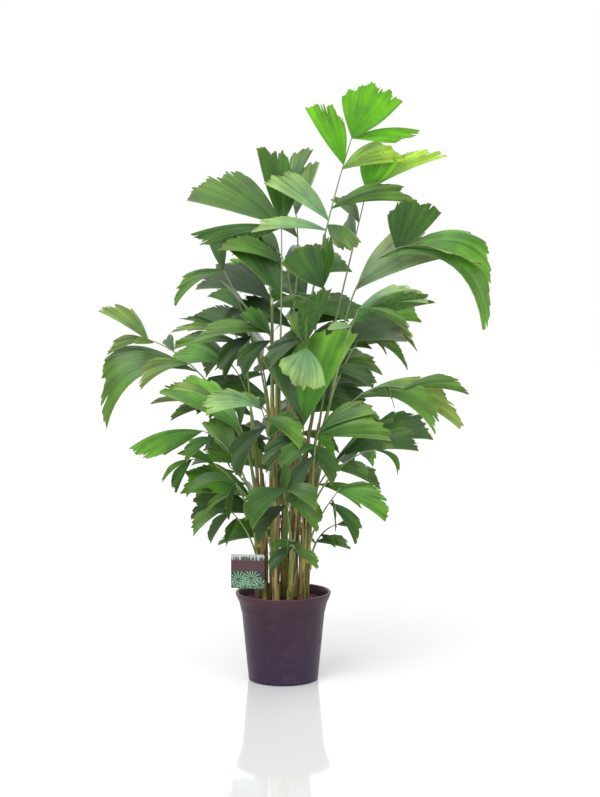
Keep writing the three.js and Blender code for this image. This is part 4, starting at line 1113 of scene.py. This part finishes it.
def makeStake():
    s, form = labelSize, bmesh.new()
    tall = s["stakeDepth"] + s["lift"] + s["stakeReach"]
    bmesh.ops.create_cube(form, size=1)
    for vertex in form.verts:
        x, y, z = vertex.co
        width = s["stakeWidth"] * (s["stakeFoot"] if z < 0 else 1)  # a narrow foot goes in easily
        vertex.co = Vector((x * width + s["stakeShift"], (y + 0.5) * s["stakeThickness"] + s["stakeGap"],
                            (z + 0.5) * tall - s["stakeDepth"]))
    upright = [e for e in form.edges if abs(e.verts[0].co.z - e.verts[1].co.z) > 1]
    bmesh.ops.subdivide_edges(form, edges=upright, cuts=12)
    sharp = [e for e in form.edges if e.calc_face_angle(0) > 1]
    bmesh.ops.bevel(form, geom=sharp, offset=s["stakeEdge"], segments=2, affect="EDGES")
    for vertex in form.verts:
        vertex.co = standLabel(*vertex.co)
    mesh = toMesh(form, "labelStake", stakeFinish)
    shadeCrisp(mesh, 40)
    return addPiece("labelStake", mesh)


handOver(makeCard(), "label_print", "label_card")
handOver(makeStake(), "stake_plastic", "label_stake")
print("label made")


studio = {"camera": (0.042, -4.0, 1.0), "tilt": 4.2, "lens": 72.8, "sensor": 36, "aim": (0, 0, 0.75),
          "floor": 14.0, "floorTones": ("#e0e0e0", "#e5e5e5"), "floorGloss": 0.05, "floorIndex": 1.95,
          "sky": 0.34, "mirrored": 1.25, "overhead": 2.15, "overheadFrom": (-0.15, -0.35, 1.0),
          "overheadAngle": 70}
lamps = {"key": ((-1.7, -3.4, 3.8), 2.6, 125), "fill": ((3.2, -2.8, 1.6), 2.0, 34),
         "rim": ((1.5, 3.0, 3.2), 2.0, 35)}  # place, size and power


def makeFloorFinish():
    g = Shader("pale floor")
    cloudy = g.noise(g.place(), 1.5, 2.0)
    return g.finish(g.add("ShaderNodeBsdfPrincipled", sockets={
        "Base Color": g.mixColour(cloudy, *studio["floorTones"]),
        "Roughness": studio["floorGloss"] + cloudy * 0.02, "IOR": studio["floorIndex"]}))


def makeWorld():  # the room looks white and mirrors white, but lights the plant softly
    world = bpy.data.worlds.new("studio")
    world.use_nodes = True
    g = Graph(world.node_tree)
    matt = g.add("ShaderNodeLightPath", out="Is Diffuse Ray")
    mirrored = g.add("ShaderNodeLightPath", out="Is Glossy Ray")
    strength = 1.0 - matt * (1.0 - studio["sky"]) + mirrored * (studio["mirrored"] - 1.0)
    background = world.node_tree.nodes["Background"]
    background.inputs["Color"].default_value = (1, 1, 1, 1)
    world.node_tree.links.new(strength.socket, background.inputs["Strength"])
    return world


def makeStudio():
    form = bmesh.new()
    bmesh.ops.create_circle(form, cap_ends=True, segments=96, radius=studio["floor"])
    addPiece("floor", toMesh(form, "floor", makeFloorFinish()))

    camera = addPiece("camera", bpy.data.cameras.new("camera"))
    camera.data.lens, camera.data.sensor_width = studio["lens"], studio["sensor"]
    camera.location = studio["camera"]
    camera.rotation_euler = (math.radians(90 - studio["tilt"]), 0, 0)
    scene.camera = camera

    for name, (place, size, power) in lamps.items():
        lamp = addPiece(name, bpy.data.lights.new(name, "AREA"))
        lamp.data.size, lamp.data.energy, lamp.location = size, power, place
        lamp.rotation_euler = (Vector(studio["aim"]) - lamp.location).to_track_quat("-Z", "Y").to_euler()

    # a broad light over the whole floor
    lamp = addPiece("overhead", bpy.data.lights.new("overhead", "SUN"))
    lamp.data.energy, lamp.data.angle = studio["overhead"], math.radians(studio["overheadAngle"])
    lamp.rotation_euler = Vector(studio["overheadFrom"]).to_track_quat("Z", "Y").to_euler()
    scene.world = makeWorld()
    scene.view_settings.view_transform = "Standard"


makeStudio()
print("studio set")
